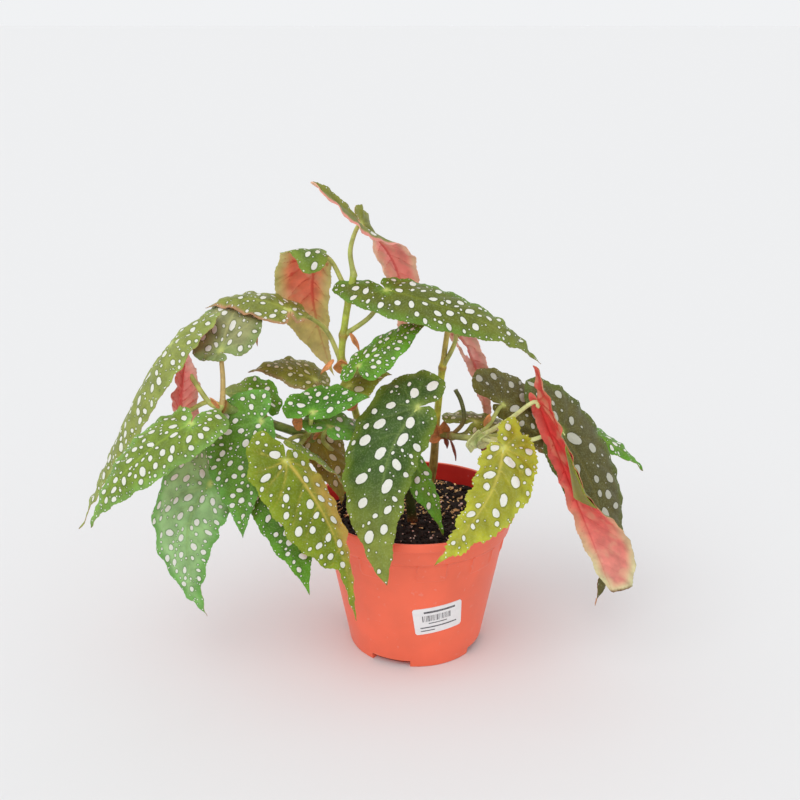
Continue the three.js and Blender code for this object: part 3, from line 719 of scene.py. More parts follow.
def leaf_top_material(name, spot_colour):
    m = Shader(name)
    tone = m.tone()
    coarse, fine, ragged = m.grain(110, 3), m.grain(900, 2), m.grain(420, 2)
    colour = m.times(tone, m.ramp(coarse, 0.2, 0.8, 0.78, 1.22))
    line = m.ramp(m.parts("chart")[1], 1.3, 0.3, 0.0, 0.5)
    colour = m.mix(line, colour, m.times(tone, VEIN_TINT))
    colour = m.mix(m.ramp(fine, 0.45, 0.7, 0.0, 0.12), colour, GRAIN_TONE)
    masks, halos = [], []
    for layer, strength in HALO_STRENGTH.items():
        x, y, size = m.parts(layer)
        far = m.math("SQRT", m.math("ADD", m.math("MULTIPLY", x, x), m.math("MULTIPLY", y, y)))
        out = m.math("MULTIPLY", m.math("SUBTRACT", far, 1.0), size)
        out = m.math("ADD", out, m.math("MULTIPLY", m.math("SUBTRACT", ragged, 0.5), 0.9))
        masks.append(m.ramp(out, 0.14, -0.08))
        halos.append(m.ramp(out, 0.95, 0.15, 0.0, strength))
    mask = m.math("MAXIMUM", *masks)
    colour = m.mix(m.math("MAXIMUM", *halos), colour, m.times(colour, HALO_TINT))
    pale = m.mix(m.ramp(fine, 0.3, 0.75, 0.0, 0.4), spot_colour, spot_colour * SPOT_SHADE)
    colour = m.mix(mask, colour, pale)
    height = m.math("ADD", m.math("MULTIPLY", fine, 0.35), m.math("MULTIPLY", mask, 0.4))
    m.bump(m.math("ADD", height, m.math("MULTIPLY", line, -0.8)), 0.5, 0.25)
    roughness = m.ramp(coarse, 0.25, 0.75, 0.4, 0.55)
    return m.finish(Base_Color=colour, Roughness=roughness, Specular_IOR_Level=0.25)


def leaf_under_material(name):
    m = Shader(name)
    tone = m.tone()
    share, vein_gap, _ = m.parts("chart")
    line = m.math("MULTIPLY", m.ramp(vein_gap, 1.9, 0.5, 0.0, 0.75), m.ramp(share, 0.35, 0.9, 1.0, 0.4))
    colour = m.times(tone, m.ramp(m.grain(130, 3), 0.2, 0.8, 0.8, 1.2))
    colour = m.mix(m.ramp(m.grain(75, 2), 0.5, 0.66, 0.0, 0.5), colour, m.mix(0.55, tone, UNDER_PALE))
    colour = m.mix(line, colour, m.times(tone, UNDER_VEIN_TINT))
    m.bump(m.math("ADD", m.math("MULTIPLY", m.grain(1100, 2), 0.4), m.math("MULTIPLY", line, 0.8)), 0.5, 0.3)
    return m.finish(Base_Color=colour, Roughness=0.55, Specular_IOR_Level=0.3)


def stem_material(name, roughness):
    m = Shader(name)
    colour = m.times(m.tone(), m.ramp(m.grain(160, 3), 0.2, 0.8, 0.7, 1.3))
    colour = m.mix(m.ramp(m.grain(620, 1), 0.62, 0.7, 0.0, 0.35), colour, FLECK)
    m.bump(m.grain(700, 3), 0.4, 0.3)
    return m.finish(Base_Color=colour, Roughness=roughness, Specular_IOR_Level=0.45)


TOPS = {
    "white": leaf_top_material("leaf_top_white_spots", rgb(229, 228, 218)),
    "grey": leaf_top_material("leaf_top_grey_spots", rgb(190, 188, 172)),
    "cream": leaf_top_material("leaf_top_cream_spots", rgb(216, 210, 176)),
}
UNDER = leaf_under_material("leaf_underside")
STEM, DRY = stem_material("stem_skin", 0.45), stem_material("dry_scale", 0.75)

DEEP, GREEN, VIVID = rgb(58, 86, 22), rgb(92, 132, 26), rgb(90, 146, 28)
OLIVE, DARK, YELLOW, PALE = rgb(116, 120, 34), rgb(88, 80, 32), rgb(178, 180, 48), rgb(160, 172, 104)
CORAL, PINK, JOINT_PALE, BROWN = rgb(240, 116, 108), rgb(232, 140, 128), rgb(188, 198, 112), rgb(96, 60, 28)
PETIOLE_GREEN, PETIOLE_TAN, PETIOLE_PALE = rgb(176, 184, 96), rgb(182, 156, 92), rgb(216, 220, 150)

# How each leaf looks: its colours by the midrib (mid), along the margin (rim), at the tip, on the wide side
# (warm), on the very edge and over the veins; its spots' colour, scale and crowding; its teeth, sway,
# ruffle and quilting in mm; and the colours of its underside, how far in from the margin their band
# reaches, and between which shares of the length they change. The underside colours are the leaf's own
# reds and pinks, set lighter as painted light for the light that shines through the thin blade.
LOOKS = {
    "leaf_top": dict(
        mid=OLIVE, rim=rgb(140, 142, 56), crowd=0.15, edge=PINK, edge_side=-1, edge_width=(2, 5),
        under=rgb(250, 142, 132), under_rim=rgb(250, 196, 168),
    ),
    "leaf_upper_right": dict(mid=rgb(94, 104, 24), rim=rgb(98, 132, 34), tip=rgb(118, 124, 48), crowd=1.1),
    "leaf_olive_right": dict(mid=DARK, rim=rgb(104, 100, 40), spots="grey", scale=1.1, crowd=1.1),
    "leaf_dark_right": dict(
        mid=rgb(86, 80, 32), rim=rgb(88, 98, 32), tip=rgb(90, 78, 36), spots="grey", scale=1.35, crowd=0.75,
        petiole=PETIOLE_PALE,
    ),
    "leaf_hanging_right": dict(
        mid=OLIVE, rim=OLIVE, crowd=0.3, edge=rgb(150, 156, 84), petiole=PETIOLE_PALE,
        under=rgb(224, 66, 62), under_rim=rgb(226, 104, 92), under_tip=rgb(226, 142, 128),
        under_rim_tip=rgb(214, 210, 160), change=(0.35, 0.95), band=8, torn_end=True,
        flap=("right", (0.18, 0.5), 1.5, 29),
    ),
    "leaf_far_right": dict(mid=GREEN, rim=VIVID, scale=0.6),
    "leaf_front_right": dict(
        mid=rgb(152, 152, 38), rim=YELLOW, vein=rgb(186, 172, 78), scale=0.95, teeth=2.0, sway=0.8, quilt=1.6,
        petiole=PETIOLE_PALE,
    ),
    "leaf_front_centre": dict(
        mid=DEEP, rim=rgb(100, 122, 34), tip=rgb(134, 142, 56), vein=rgb(104, 126, 60), scale=1.08, sway=0.6,
    ),
    "leaf_small_front": dict(mid=GREEN, rim=VIVID, scale=0.7),
    "leaf_front_left": dict(
        mid=rgb(112, 128, 12), rim=rgb(128, 146, 24), warm=rgb(196, 160, 74), vein=rgb(200, 172, 80),
        scale=0.9, crowd=0.9, sway=0.8,
    ),
    "leaf_narrow_left": dict(mid=rgb(122, 148, 56), rim=rgb(144, 166, 68), scale=0.42),
    "leaf_low_left": dict(mid=rgb(76, 124, 16), rim=VIVID, scale=0.7),
    "leaf_mid_left": dict(mid=rgb(88, 132, 34), rim=rgb(100, 156, 60), scale=0.68, crowd=1.15),
    "leaf_lower_left": dict(
        # The pale bluish mid colour is partly painted sheen: the reflection of the bright sky on the middle
        # of the blade.
        mid=rgb(150, 190, 124), rim=rgb(106, 164, 74), vein=rgb(108, 140, 72),
        scale=0.76, crowd=1.15, sway=0.8,
    ),
    "leaf_side_left": dict(
        mid=rgb(116, 140, 42), rim=rgb(122, 162, 70), scale=0.66, crowd=1.15,
        under=rgb(206, 158, 122), under_rim=rgb(186, 172, 112),
    ),
    "leaf_arching_left": dict(mid=rgb(136, 146, 66), rim=rgb(146, 160, 74), scale=0.68),
    "leaf_high_left": dict(mid=rgb(148, 150, 100), rim=rgb(128, 146, 84), scale=0.7, petiole=PETIOLE_TAN),
    "leaf_back_left": dict(mid=rgb(122, 130, 52), rim=rgb(138, 144, 62), scale=0.68, edge=rgb(182, 134, 98)),
    "leaf_hanging_left": dict(
        mid=rgb(98, 122, 34), rim=rgb(120, 142, 50), under=rgb(240, 124, 96), under_rim=rgb(214, 204, 128),
        under_tip=rgb(222, 206, 128), change=(0.3, 0.62), band=12,
    ),
    "leaf_young_coral": dict(
        mid=CORAL, rim=CORAL, scale=0.4, ruffle=1.8, sway=0.8, teeth=1.4,
        under=rgb(250, 146, 138), under_rim=rgb(252, 190, 176),
    ),
    "leaf_olive_left": dict(
        mid=rgb(118, 118, 34), rim=rgb(136, 140, 50), spots="cream", scale=0.6, edge=rgb(150, 130, 84),
    ),
    "leaf_inner_left": dict(mid=GREEN, rim=VIVID, tip=PALE, scale=0.7),
    "leaf_centre_upper": dict(mid=rgb(66, 120, 22), rim=rgb(84, 140, 30), scale=0.7),
    "leaf_centre_lower": dict(mid=rgb(92, 146, 44), rim=rgb(92, 152, 50), scale=0.75),
    "leaf_shadow_centre": dict(mid=rgb(136, 122, 40), rim=rgb(140, 138, 54), spots="cream", scale=0.9),
    "leaf_small_spotted": dict(mid=rgb(88, 130, 20), rim=VIVID, scale=0.5, crowd=1.1),
    "leaf_cream_spotted": dict(mid=OLIVE, rim=rgb(138, 150, 40), spots="cream", scale=0.85),
    "leaf_back_right": dict(
        mid=PINK, rim=PINK, scale=0.5, crowd=0.1, under=rgb(244, 156, 152), under_rim=rgb(244, 190, 176),
        under_tip=rgb(226, 178, 150), hole=(15, 2.5, 8, 1.7),
    ),
    "leaf_low_back_right": dict(mid=rgb(112, 112, 32), rim=rgb(132, 142, 54), spots="cream", scale=0.6),
}
PLAIN_LOOK = dict(
    tip=None, warm=None, edge=None, edge_side=1, edge_width=(0.8, 3), vein=None, burnt=0.6,
    spots="white", scale=0.8, crowd=1.0, teeth=0.7, sway=0.45, ruffle=1.1, quilt=0.75, petiole=PETIOLE_GREEN,
    # These plain underside colours are also partly painted light: lightened for the light that shines through
    # the blade.
    under=rgb(214, 110, 92), under_rim=rgb(200, 150, 104), under_tip=None, under_rim_tip=None,
    change=(0.3, 0.85), band=7, torn_end=False, hole=None, flap=None,
)

# ---------- leaves ----------

CELL, ROW_SHARE, RIM_ROOM = 1.25, 0.866, 0.75
HALF_THICKNESS = 0.22
JOINT_RADIUS = 2.1
PETIOLE_SIDES = 12
FLAP_GRID = (26, 15)
NO_FACTS, NO_SPOT = (0, 9, 0), (9, 9, 1)


def torn_hole(along, across, long, wide, rng):
    """A ragged oval hole, round its centre the other way from a blade's outline."""
    turn = np.linspace(0, 2 * math.pi, 70, endpoint=False)
    ragged = 1 + 0.18 * np.sin(5 * turn + rng.uniform(0, 6)) + rng.normal(0, 0.06, len(turn))
    return np.column_stack([along + long * np.cos(turn) * ragged, across + wide * np.sin(turn) * ragged])


def flat_mesh(rims):
    """Fills the first rim but for the others: the points, the triangles, the rims' edges and the area."""
    outline = rims[0]
    low, high = outline.min(0), outline.max(0)
    xs, ys = np.arange(low[0], high[0], CELL), np.arange(low[1], high[1], CELL * ROW_SHARE)
    cells = np.array([[x + (CELL / 2 if j % 2 else 0), y] for j, y in enumerate(ys) for x in xs])
    cells = cells[inside(cells, outline)]
    cells = cells[nearest(cells, np.vstack(rims))[0] > RIM_ROOM]
    first = np.cumsum([0] + [len(rim) for rim in rims])
    edges = np.vstack([ring_edges(start + np.arange(len(rim))) for start, rim in zip(first, rims)])
    flat = np.vstack([*rims, cells])
    made = delaunay_2d_cdt([Vector(p) for p in flat], edges.tolist(), [], 1, 1e-5)
    points, triangles = np.array([tuple(p) for p in made[0]]), np.array([list(t) for t in made[2]])
    for hole in rims[1:]:
        triangles = triangles[~inside(points[triangles].mean(1), hole)]
    a, b, c = (points[triangles[:, k]] for k in range(3))
    clockwise = (b - a)[:, 0] * (c - a)[:, 1] - (b - a)[:, 1] * (c - a)[:, 0] < 0
    triangles[clockwise] = triangles[clockwise][:, ::-1]
    return points, triangles, edges, len(cells) * CELL * CELL * ROW_SHARE


def folded_flap(blade, side, shares, reach, width):
    """A strip of the margin that folds back over the underside: points, and shares of its width."""
    rows, columns = FLAP_GRID
    sign = 1 if side == "left" else -1
    margin = blade.margin(side)
    margin = margin[np.argmax(np.abs(margin[:, 1])):]
    s = np.linspace(0, 1, rows)
    along = blade.length * (shares[0] + (shares[1] - shares[0]) * s)
    rim = np.interp(along, margin[:, 0], np.abs(margin[:, 1])) - 0.4
    grow = s * (1 - smoothstep(s, 0.95, 1.0))
    u = np.linspace(0, 1, columns)[None]
    out = np.interp(u, [0, 0.2, 0.3, 0.4, 1], [0, 0.9, 1, 0.9, 0]) * reach
    back = np.interp(u, [0, 0.3, 1], [0, 0, 1]) * width
    lift = np.interp(u, [0, 0.2, 0.3, 0.4, 0.8, 1], [0, 0.1, 0.8, 1.6, 3.2, 3.6])
    across = ((rim[:, None] + (out - back) * grow[:, None]) * sign).ravel()
    along = np.repeat(along, columns) + 1.5 * np.sin(3 * np.tile(u.ravel(), rows))
    height = (lift * grow[:, None] ** 0.4).ravel()
    middle = blade.point(along, across) - blade.normal(along, across) * height[:, None]
    return middle, np.tile(u.ravel(), rows)


class Leaf:
    """One leaf: its flat chart, and what its shape and its colours follow at each of the chart's points."""

    def __init__(self, node, number):
        self.rng = rng = np.random.default_rng(number + 40)
        self.look = look = {**PLAIN_LOOK, **LOOKS[node]}
        self.blade = blade = Blade(LEAVES[node])
        left, right = (
            even(serrated(even(blade.margin(side), 0.25), rng, look["teeth"], look["sway"]), 0.8)
            for side in ("left", "right")
        )
        self.outline = np.vstack([left, right[-2:0:-1]])
        rims = [self.outline]
        if look["hole"] is not None:
            rims.append(torn_hole(*look["hole"], rng))
        self.chart, self.triangles, self.edges, self.area = flat_mesh(rims)
        self.veins = vein_lines(blade, rng)
        self.edge, self.beside = nearest(self.chart, np.vstack(rims))
        self.gap, which = nearest(self.chart, self.veins[:, :2])
        self.vein = self.gap / np.maximum(self.veins[which, 2], 0.1)
        self.strong = np.minimum(1, self.veins[which, 2])
        self.along, self.across = self.chart[:, 0], self.chart[:, 1]
        self.share = np.clip(self.along / blade.length, 0, 1)

    def sheets(self):
        """The upper and the lower side: a wavy margin, swellings between the veins, and ribs below."""
        look, edge = self.look, self.edge
        first, second, _ = self.rng.uniform(0, 6.28, 3)
        run = self.beside * 0.8
        wave = np.sin(run / 3.1 + first) + 0.6 * np.sin(run / 1.7 + second)
        from_joint = smoothstep(np.hypot(self.along, self.across), 3, 14)
        lift = look["ruffle"] * wave * (1 - smoothstep(edge, 0, 9)) * from_joint * 0.6
        lift += look["quilt"] * (1 - np.exp(-((self.gap / 2.6) ** 2))) - 0.3 * np.exp(-(self.vein**2) / 1.5)
        rib = 0.55 * np.exp(-((self.vein / 1.3) ** 2)) * self.strong * smoothstep(edge, 0, 1.5)
        middle, normal = (make(self.along, self.across) for make in (self.blade.point, self.blade.normal))
        heights = lift + HALF_THICKNESS, lift - HALF_THICKNESS - rib
        return [middle + normal * height[:, None] for height in heights]

    def upper_tone(self):
        look, along, across, length = self.look, self.along, self.across, self.blade.length
        tone = mixed(look["mid"], look["rim"], 1 - smoothstep(self.edge, 0.5, 8))
        if look["tip"] is not None:
            tone = mixed(tone, look["tip"], smoothstep(self.share, 0.35, 0.85) * 0.8)
        if look["warm"] is not None:
            side = across * (1 if self.blade.leaf["wide"] == "right" else -1)
            tone = mixed(tone, look["warm"], smoothstep(side, -1, 9) * smoothstep(self.share, 0.02, 0.3))
        if look["edge"] is not None:
            on_side = across * look["edge_side"] > 0
            tone = mixed(tone, look["edge"], (1 - smoothstep(self.edge, *look["edge_width"])) * on_side)
        near_vein = np.exp(-((self.vein / 1.2) ** 2)) * self.strong
        tone = mixed(tone, tone * 1.25 if look["vein"] is None else look["vein"], near_vein * 0.8)
        joint = np.exp(-(((along**2 + across**2) / JOINT_RADIUS**2) ** 1.5))
        tone = mixed(tone, JOINT_PALE, joint * 0.8)
        return mixed(tone, BROWN, smoothstep(along, length - 2.2, length - 0.6) * look["burnt"])

    def lower_tone(self):
        look, edge = self.look, self.edge
        changed = smoothstep(self.share, *look["change"])
        middle, rim = (
            mixed(look[near], look[near] if look[far] is None else look[far], changed)
            for near, far in (("under", "under_tip"), ("under_rim", "under_rim_tip"))
        )
        tone = middle + (rim - middle) * (1 - smoothstep(edge, 0.5, look["band"]))[:, None]
        if look["torn_end"]:
            tone = mixed(tone, BROWN, smoothstep(self.share, 0.965, 0.99) * (1 - smoothstep(edge, 0.8, 2.2)))
        return tone

    def petiole(self):
        """The stalk, which comes up from the cane and runs into the underside of the midrib."""
        along, across = np.array([0.5, 5.0]), np.zeros(2)
        ends = self.blade.point(along, across) - self.blade.normal(along, across) * 1.6
        path = curve([*self.blade.leaf["petiole"][:-1], *ends], np.linspace(0, 1, 120), centripetal=True)
        path = even(path, 1.6)
        s = np.linspace(0, 1, len(path))
        foot, head = np.exp(-((s * len(path)) / 2.5) ** 2), smoothstep(s, 0.93, 0.99)
        radii = 1.8 - 0.45 * s + 0.7 * foot + 0.35 * head
        radii[-1] = 0.6
        return tube(path, radii, PETIOLE_SIDES)

    def add_flap(self, parts):
        look = self.look
        middle, width_share = folded_flap(self.blade, *look["flap"])
        faces = grid_triangles(*FLAP_GRID, closed=False)
        a, b, c = (middle[faces[:, k]] for k in range(3))
        away = np.zeros_like(middle)
        for k in range(3):
            np.add.at(away, faces[:, k], np.cross(b - a, c - a))
        away = unit(away) * HALF_THICKNESS
        upper = mixed(look["mid"] * 1.2, look["edge"] * 1.3, smoothstep(width_share, 0.8, 1))
        tone = np.vstack([upper, np.tile(look["under"], (len(middle), 1))])
        points, plate_faces = grid_plate(middle + away, middle - away, *FLAP_GRID)
        parts.add(points, plate_faces, tone, np.arange(len(plate_faces)) >= len(faces))

    def parts(self):
        """The leaf's parts, and the facts and spots that its shaders read."""
        look, chart, triangles = self.look, self.chart, self.triangles
        parts = Parts()
        points, faces = plate(*self.sheets(), triangles, self.edges[:, ::-1])
        under = np.arange(len(faces)) >= len(triangles)
        parts.add(points, faces, np.vstack([self.upper_tone(), self.lower_tone()]), under)
        parts.add(*self.petiole(), look["petiole"], 2)
        if look["flap"] is not None:
            self.add_flap(parts)
        facts = np.column_stack([self.share, self.vein, self.share * 0])
        facts = np.vstack([facts, facts, np.tile(NO_FACTS, (parts.count - 2 * len(chart), 1))])
        attributes = [("chart", "FLOAT_VECTOR", "POINT", facts)]
        rest = np.tile(NO_SPOT, ((sum(map(len, parts.triangles)) - len(triangles)) * 3, 1))
        spots = spot_layout(self.outline, self.veins, self.area, self.rng, look["scale"], look["crowd"])
        for label, ovals in ("spot", spots), ("dot", dot_layout(self.outline, self.rng, look["crowd"])):
            corners = np.vstack([local_spots(triangles, chart, ovals), rest])
            attributes.append((label, "FLOAT_VECTOR", "CORNER", corners))
        return parts, attributes


SLOTS = {entry["node"]: entry["material_slot"] for entry in frame["record"]["subparts"]}
for number, node in enumerate(LEAVES):
    leaf = Leaf(node, number)
    parts, attributes = leaf.parts()
    parts.hand_over(node + "_blade", node, SLOTS[node], [TOPS[leaf.look["spots"]], UNDER, STEM], attributes)

# ---------- canes and stipules ----------

# Each cane's colour at its foot and its top, and the heights between which it changes; slim is its share
# of the CAD's radius by height, and swell that of the swelling at its nodes.
CANE_LOOKS = {
    "main_cane": dict(
        low=rgb(134, 118, 56), high=rgb(172, 186, 70), change=(110, 175),
        slim=((90, 150, 182), (0.94, 0.8, 0.68)),
    ),
    "second_cane": dict(
        low=rgb(156, 140, 70), high=rgb(204, 216, 78), change=(140, 156), tan_above=205,
        slim=((120, 158, 198, 206), (0.88, 0.7, 0.66, 0.52)), swell=0.6,
    ),
    "left_cane": dict(low=rgb(120, 96, 60), high=rgb(118, 140, 62), change=(100, 160)),
    # The front cane's dark green above its foot is partly painted shade: it stands in the shade of the front
    # leaves.
    "front_cane": dict(low=rgb(120, 62, 40), high=rgb(56, 78, 34), change=(90, 104)),
    "side_shoot": dict(low=rgb(150, 158, 84), high=rgb(178, 190, 112), change=(150, 156)),
    "red_cane": dict(low=rgb(104, 34, 28), high=rgb(122, 36, 30), change=(100, 140)),
    "dry_petiole": dict(low=rgb(140, 110, 60), high=rgb(92, 100, 50), change=(152, 172)),
}
PLAIN_CANE = dict(slim=((0, 400), (0.94, 0.94)), swell=1, tan_above=400)
NODE_TONE, DRY_TONE, DRY_DARK = rgb(176, 124, 66), rgb(218, 146, 88), rgb(134, 62, 38)
SHEATH, RED_STUB = rgb(204, 216, 148), rgb(128, 36, 30)
CANE_SIDES = 28
SOIL_LINE = 89

# Small dry or pale scales and stubs that stay at the canes' nodes: base, tip, widths, tone and turn.
SCALES = {
    "main_cane": [
        ([-50, 0, 199], [-50, -6, 211], [6, 5.5], DRY_TONE),
        ([-45, 6, 170], [-46, 0, 186], [6, 5.5], DRY_TONE),
    ],
    "side_shoot": [
        ([24, 5, 149], [28, 3, 134], [2.2, 1.8], DRY_DARK),
        ([20, 11, 149], [22, 9, 141], [2.5, 2], DRY_DARK),
        ([37, -14, 158], [37, -17, 148.5], [3.6, 3.4], SHEATH),
        ([39, -13, 149.5], [42, -19, 166], [6.5, 6], SHEATH),
        ([44, -14, 150], [47, -20, 163], [6, 5], SHEATH),
        ([47, -6, 163], [50, -10, 174], [3.5, 2.5], DRY_TONE),
    ],
    "second_cane": [
        ([13, 16, 142], [13, 11, 160], [6.5, 6], DRY_TONE),
        ([19, 16, 145], [20, 11, 161], [5, 4], DRY_TONE),
    ],
    "front_cane": [([-6, -19, 148], [-3, -22, 156], [3, 2.5], DRY_TONE)],
    "red_cane": [([54, -8, 136], [41, -10, 157], [2.4, 2.2], RED_STUB, 90)],
    "left_cane": [([-68, -22, 160], [-64, -25, 167], [3, 2.6], DRY_TONE)],
}


def add_scale(parts, rng, faintest, base, tip, widths, colour, turn=0):
    """Adds a small bent scale, a closed thin plate, its tone uneven between faintest and 1.2."""
    blade = Blade(dict(base=base, tip=tip, widths=widths, turn=turn, wide="left", lobe=1.5, bow=1.5))
    rows, columns, half_thickness = 14, 9, 0.3
    t = np.linspace(0.02, 0.99, rows)[:, None]
    u = np.linspace(-1, 1, columns)[None]
    reach = np.where(u > 0, widths[0], widths[1])
    across = (u * reach * np.sin(np.pi * t**0.7) ** 0.8 * (1 + 0.12 * np.sin(9 * t + 3 * u))).ravel()
    along = (t * blade.length + 0 * u).ravel()
    middle, out = blade.point(along, across), blade.normal(along, across) * half_thickness
    points, faces = grid_plate(middle - out, middle + out, rows, columns)
    parts.add(points, faces, colour * rng.uniform(faintest, 1.2, (len(points), 1)))


def cane_parts(node, cane):
    look = {**PLAIN_CANE, **CANE_LOOKS[node]}
    path = even(curve(cane["path"], np.linspace(0, 1, 400), centripetal=True), 0.9)
    level = path[:, 2]
    radii = cane["radius"] * np.interp(level, *look["slim"])
    close, ring = np.zeros(len(path)), np.zeros(len(path))
    for x, y, z, radius in cane["nodes"]:
        away = np.linalg.norm(path - [x, y, z], axis=1)
        radii += (radius - cane["radius"]) * look["swell"] * np.exp(-((away / 3.0) ** 2))
        radii += 0.25 * np.exp(-((away / 0.7) ** 2))
        close = np.maximum(close, np.exp(-((away / 2.6) ** 2)))
        ring = np.maximum(ring, np.exp(-((away / 0.8) ** 2)))
    if level[0] < SOIL_LINE:
        radii += 1.3 * np.exp(-(((level - SOIL_LINE) / 5) ** 2))
    tone = mixed(look["low"], look["high"], smoothstep(level, *look["change"]))
    tan = smoothstep(level, look["tan_above"] - 5, look["tan_above"] + 3)
    for colour, share in (PETIOLE_TAN, tan * 0.7), (NODE_TONE, close * 0.55), (DRY_DARK, ring * 0.6):
        tone = mixed(tone, colour, share)
    parts = Parts()
    tone = np.vstack([np.repeat(tone, CANE_SIDES, axis=0), tone[:1], tone[-1:]])
    parts.add(*tube(path, radii, CANE_SIDES), tone)
    rng = np.random.default_rng(len(node))
    for scale in SCALES.get(node, []):
        add_scale(parts, rng, 0.8, *scale)
    return parts


for node, cane in CANES.items():
    cane_parts(node, cane).hand_over(node + "_skin", node, SLOTS[node], [STEM])
for number, (node, scale) in enumerate(STIPULES.items()):
    parts = Parts()
    add_scale(parts, np.random.default_rng(number), 0.75, **scale, colour=DRY_TONE)
    parts.hand_over(node + "_scale", node, "dry", [DRY])

# ---------- pot ----------

POT = dict(
    height=106, base_radius=47, top_radius=67, wall=1.8, floor=2.5, rim_radius=70, rim_height=6,
    collar_step=2.6, collar_bottom=88, tab_bottom=74, tabs=10, tab_phase=9, tab_half=9, feet=4, foot_gap=35,
    foot_phase=-22, foot_height=5, foot_width=5,
)
POT_TONE, POT_INSIDE = rgb(246, 110, 78), rgb(216, 42, 36)
# Rows of points lie close together from this height up to the collar.
CLOSE_FROM = 71


def plastic(name, colour):
    m = Shader(name)
    coarse = m.grain(28, 3)
    base = m.times(colour, m.ramp(coarse, 0.25, 0.75, 0.92, 1.08))
    base = m.mix(m.ramp(m.grain(260, 4), 0.62, 0.74, 0.0, 0.22), base, colour * 0.6 + 0.3)
    m.bump(m.grain(520, 3), 0.25, 0.25)
    return m.finish(Base_Color=base, Roughness=m.ramp(coarse, 0.2, 0.8, 0.34, 0.5), Specular_IOR_Level=0.45)


def wall_radius(z):
    return POT["base_radius"] + (POT["top_radius"] - POT["base_radius"]) * z / POT["height"]


def rounded(profile, radius):
    """The profile with each corner turned into a small arc."""
    profile = np.array(profile, float)
    made = [profile[:1]]
    for before, corner, after in zip(profile, profile[1:], profile[2:]):
        to_before, to_after = before - corner, after - corner
        reach = min(radius, np.linalg.norm(to_before) * 0.45, np.linalg.norm(to_after) * 0.45)
        start, end = corner + unit(to_before) * reach, corner + unit(to_after) * reach
        t = np.linspace(0, 1, 5)[:, None]
        made.append(start * (1 - t) ** 2 + 2 * corner * t * (1 - t) + end * t**2)
    return np.vstack([*made, profile[-1:]])


def pot_profile():
    """Rows of radius and height, up the outside and down the inside, closer where tabs and feet need it."""
    p = POT
    step, wall, collar = p["collar_step"], p["wall"], p["collar_bottom"]
    inner_foot, rim_low = p["base_radius"] - p["foot_width"], p["height"] - p["rim_height"]
    bend = rounded([
        [0.1, 0], [inner_foot, 0], [p["base_radius"], 0], [wall_radius(collar - 1.5), collar - 1.5],
        [wall_radius(collar) + step, collar + 1.2], [wall_radius(rim_low) + step, rim_low],
        [p["rim_radius"], rim_low], [p["rim_radius"], p["height"]], [p["rim_radius"] - 2.2, p["height"]],
        [wall_radius(rim_low) + step - wall, rim_low], [wall_radius(collar) + step - wall, collar + wall],
        [wall_radius(collar) - wall, collar - wall], [wall_radius(p["floor"]) - wall, p["floor"]],
        [0.1, p["floor"]],
    ], 0.8)
    turn = np.argmax(bend[:, 1])
    near_foot, wall_rows, near_tabs = np.arange(1, 6, 0.6), np.arange(8, 72, 4), np.arange(73, 75.6, 0.3)
    stops = np.concatenate([near_foot, wall_rows, near_tabs, [78, 82, 86]])
    rows = [bend[0]]
    for i in range(1, len(bend)):
        before, after = bend[i - 1], bend[i]
        outer, gap = i <= turn, np.linalg.norm(after - before)
        at_foot = after[1] < 7 and after[0] > inner_foot
        spacing = 0.7 if outer and (CLOSE_FROM < after[1] <= collar + 1 or at_foot) else 6
        if outer and before[1] < CLOSE_FROM and after[1] > 80:
            rows += [[wall_radius(z), z] for z in stops if before[1] < z < after[1]]
        elif gap > spacing:
            rows += [before * (1 - t) + after * t for t in np.linspace(0, 1, int(gap / spacing) + 2)[1:-1]]
        rows.append(after)
    return np.array(rows)


def pot_parts():
    p = POT
    rows = pot_profile()
    level, top_row = rows[:, 1], int(np.argmax(rows[:, 1]))
    tab_turn, foot_turn = 360 / p["tabs"], 360 / p["feet"]
    edges = [p["tab_phase"] + tab_turn * (i + k) for i in range(p["tabs"]) for k in (-0.25, 0.25)]
    for i in range(p["feet"]):
        edges += [p["foot_phase"] + foot_turn * i + k * p["foot_gap"] for k in (-0.5, 0.5)]
    angles = list(np.arange(0, 360, 2.0))
    for edge in edges:
        angles += [(edge + k) % 360 for k in (-0.45, -0.3, -0.15, 0, 0.15, 0.3, 0.45)]
    angles = np.array(sorted(set(np.round(angles, 3))))
    radius, height = (np.repeat(rows[:, k : k + 1], len(angles), 1) for k in (0, 1))
    from_tab, from_gap = (
        np.abs((angles - phase + turn / 2) % turn - turn / 2)
        for phase, turn in ((p["tab_phase"], tab_turn), (p["foot_phase"], foot_turn))
    )
    tab = 1 - smoothstep(from_tab, p["tab_half"] - 0.3, p["tab_half"] + 0.3)
    tab = tab[None] * smoothstep(level, p["tab_bottom"] - 0.2, p["tab_bottom"] + 1.0)[:, None]
    ridge = np.exp(-(((from_tab - p["tab_half"]) / 0.55) ** 2)) * smoothstep(level, 77, 78)[:, None]
    is_outer = (np.arange(len(rows)) <= top_row)[:, None]
    below = (level < p["collar_bottom"] - 0.05)[:, None] & is_outer
    radius += np.where(below, tab * 0.35 + ridge * 0.8, 0)
    in_foot = radius > p["base_radius"] - p["foot_width"] - 0.1
    notch = (from_gap < p["foot_gap"] / 2)[None] & is_outer & in_foot
    height = np.where(notch, np.maximum(height, p["foot_height"]), height)
    a = np.radians(angles)[None]
    points = np.stack([radius * np.sin(a), -radius * np.cos(a), height], -1).reshape(-1, 3)
    faces = grid_triangles(len(rows), len(angles), looped=True)
    parts = Parts()
    parts.add(points, faces, slot=faces[:, 0] // len(angles) >= top_row + 4)
    return parts


pot_materials = [plastic("pot_plastic", POT_TONE), plastic("pot_inside", POT_INSIDE)]
pot_parts().hand_over("pot_shell", "pot", "pot", pot_materials)

# ---------- label ----------

LABEL = dict(width=34, height=22, gap=0.35, z=42, turn=16, tilt=-7, corner=1.6)
PAPER_LIFT, INK_LIFT = (0.1, -0.3), (0.14, 0.05)


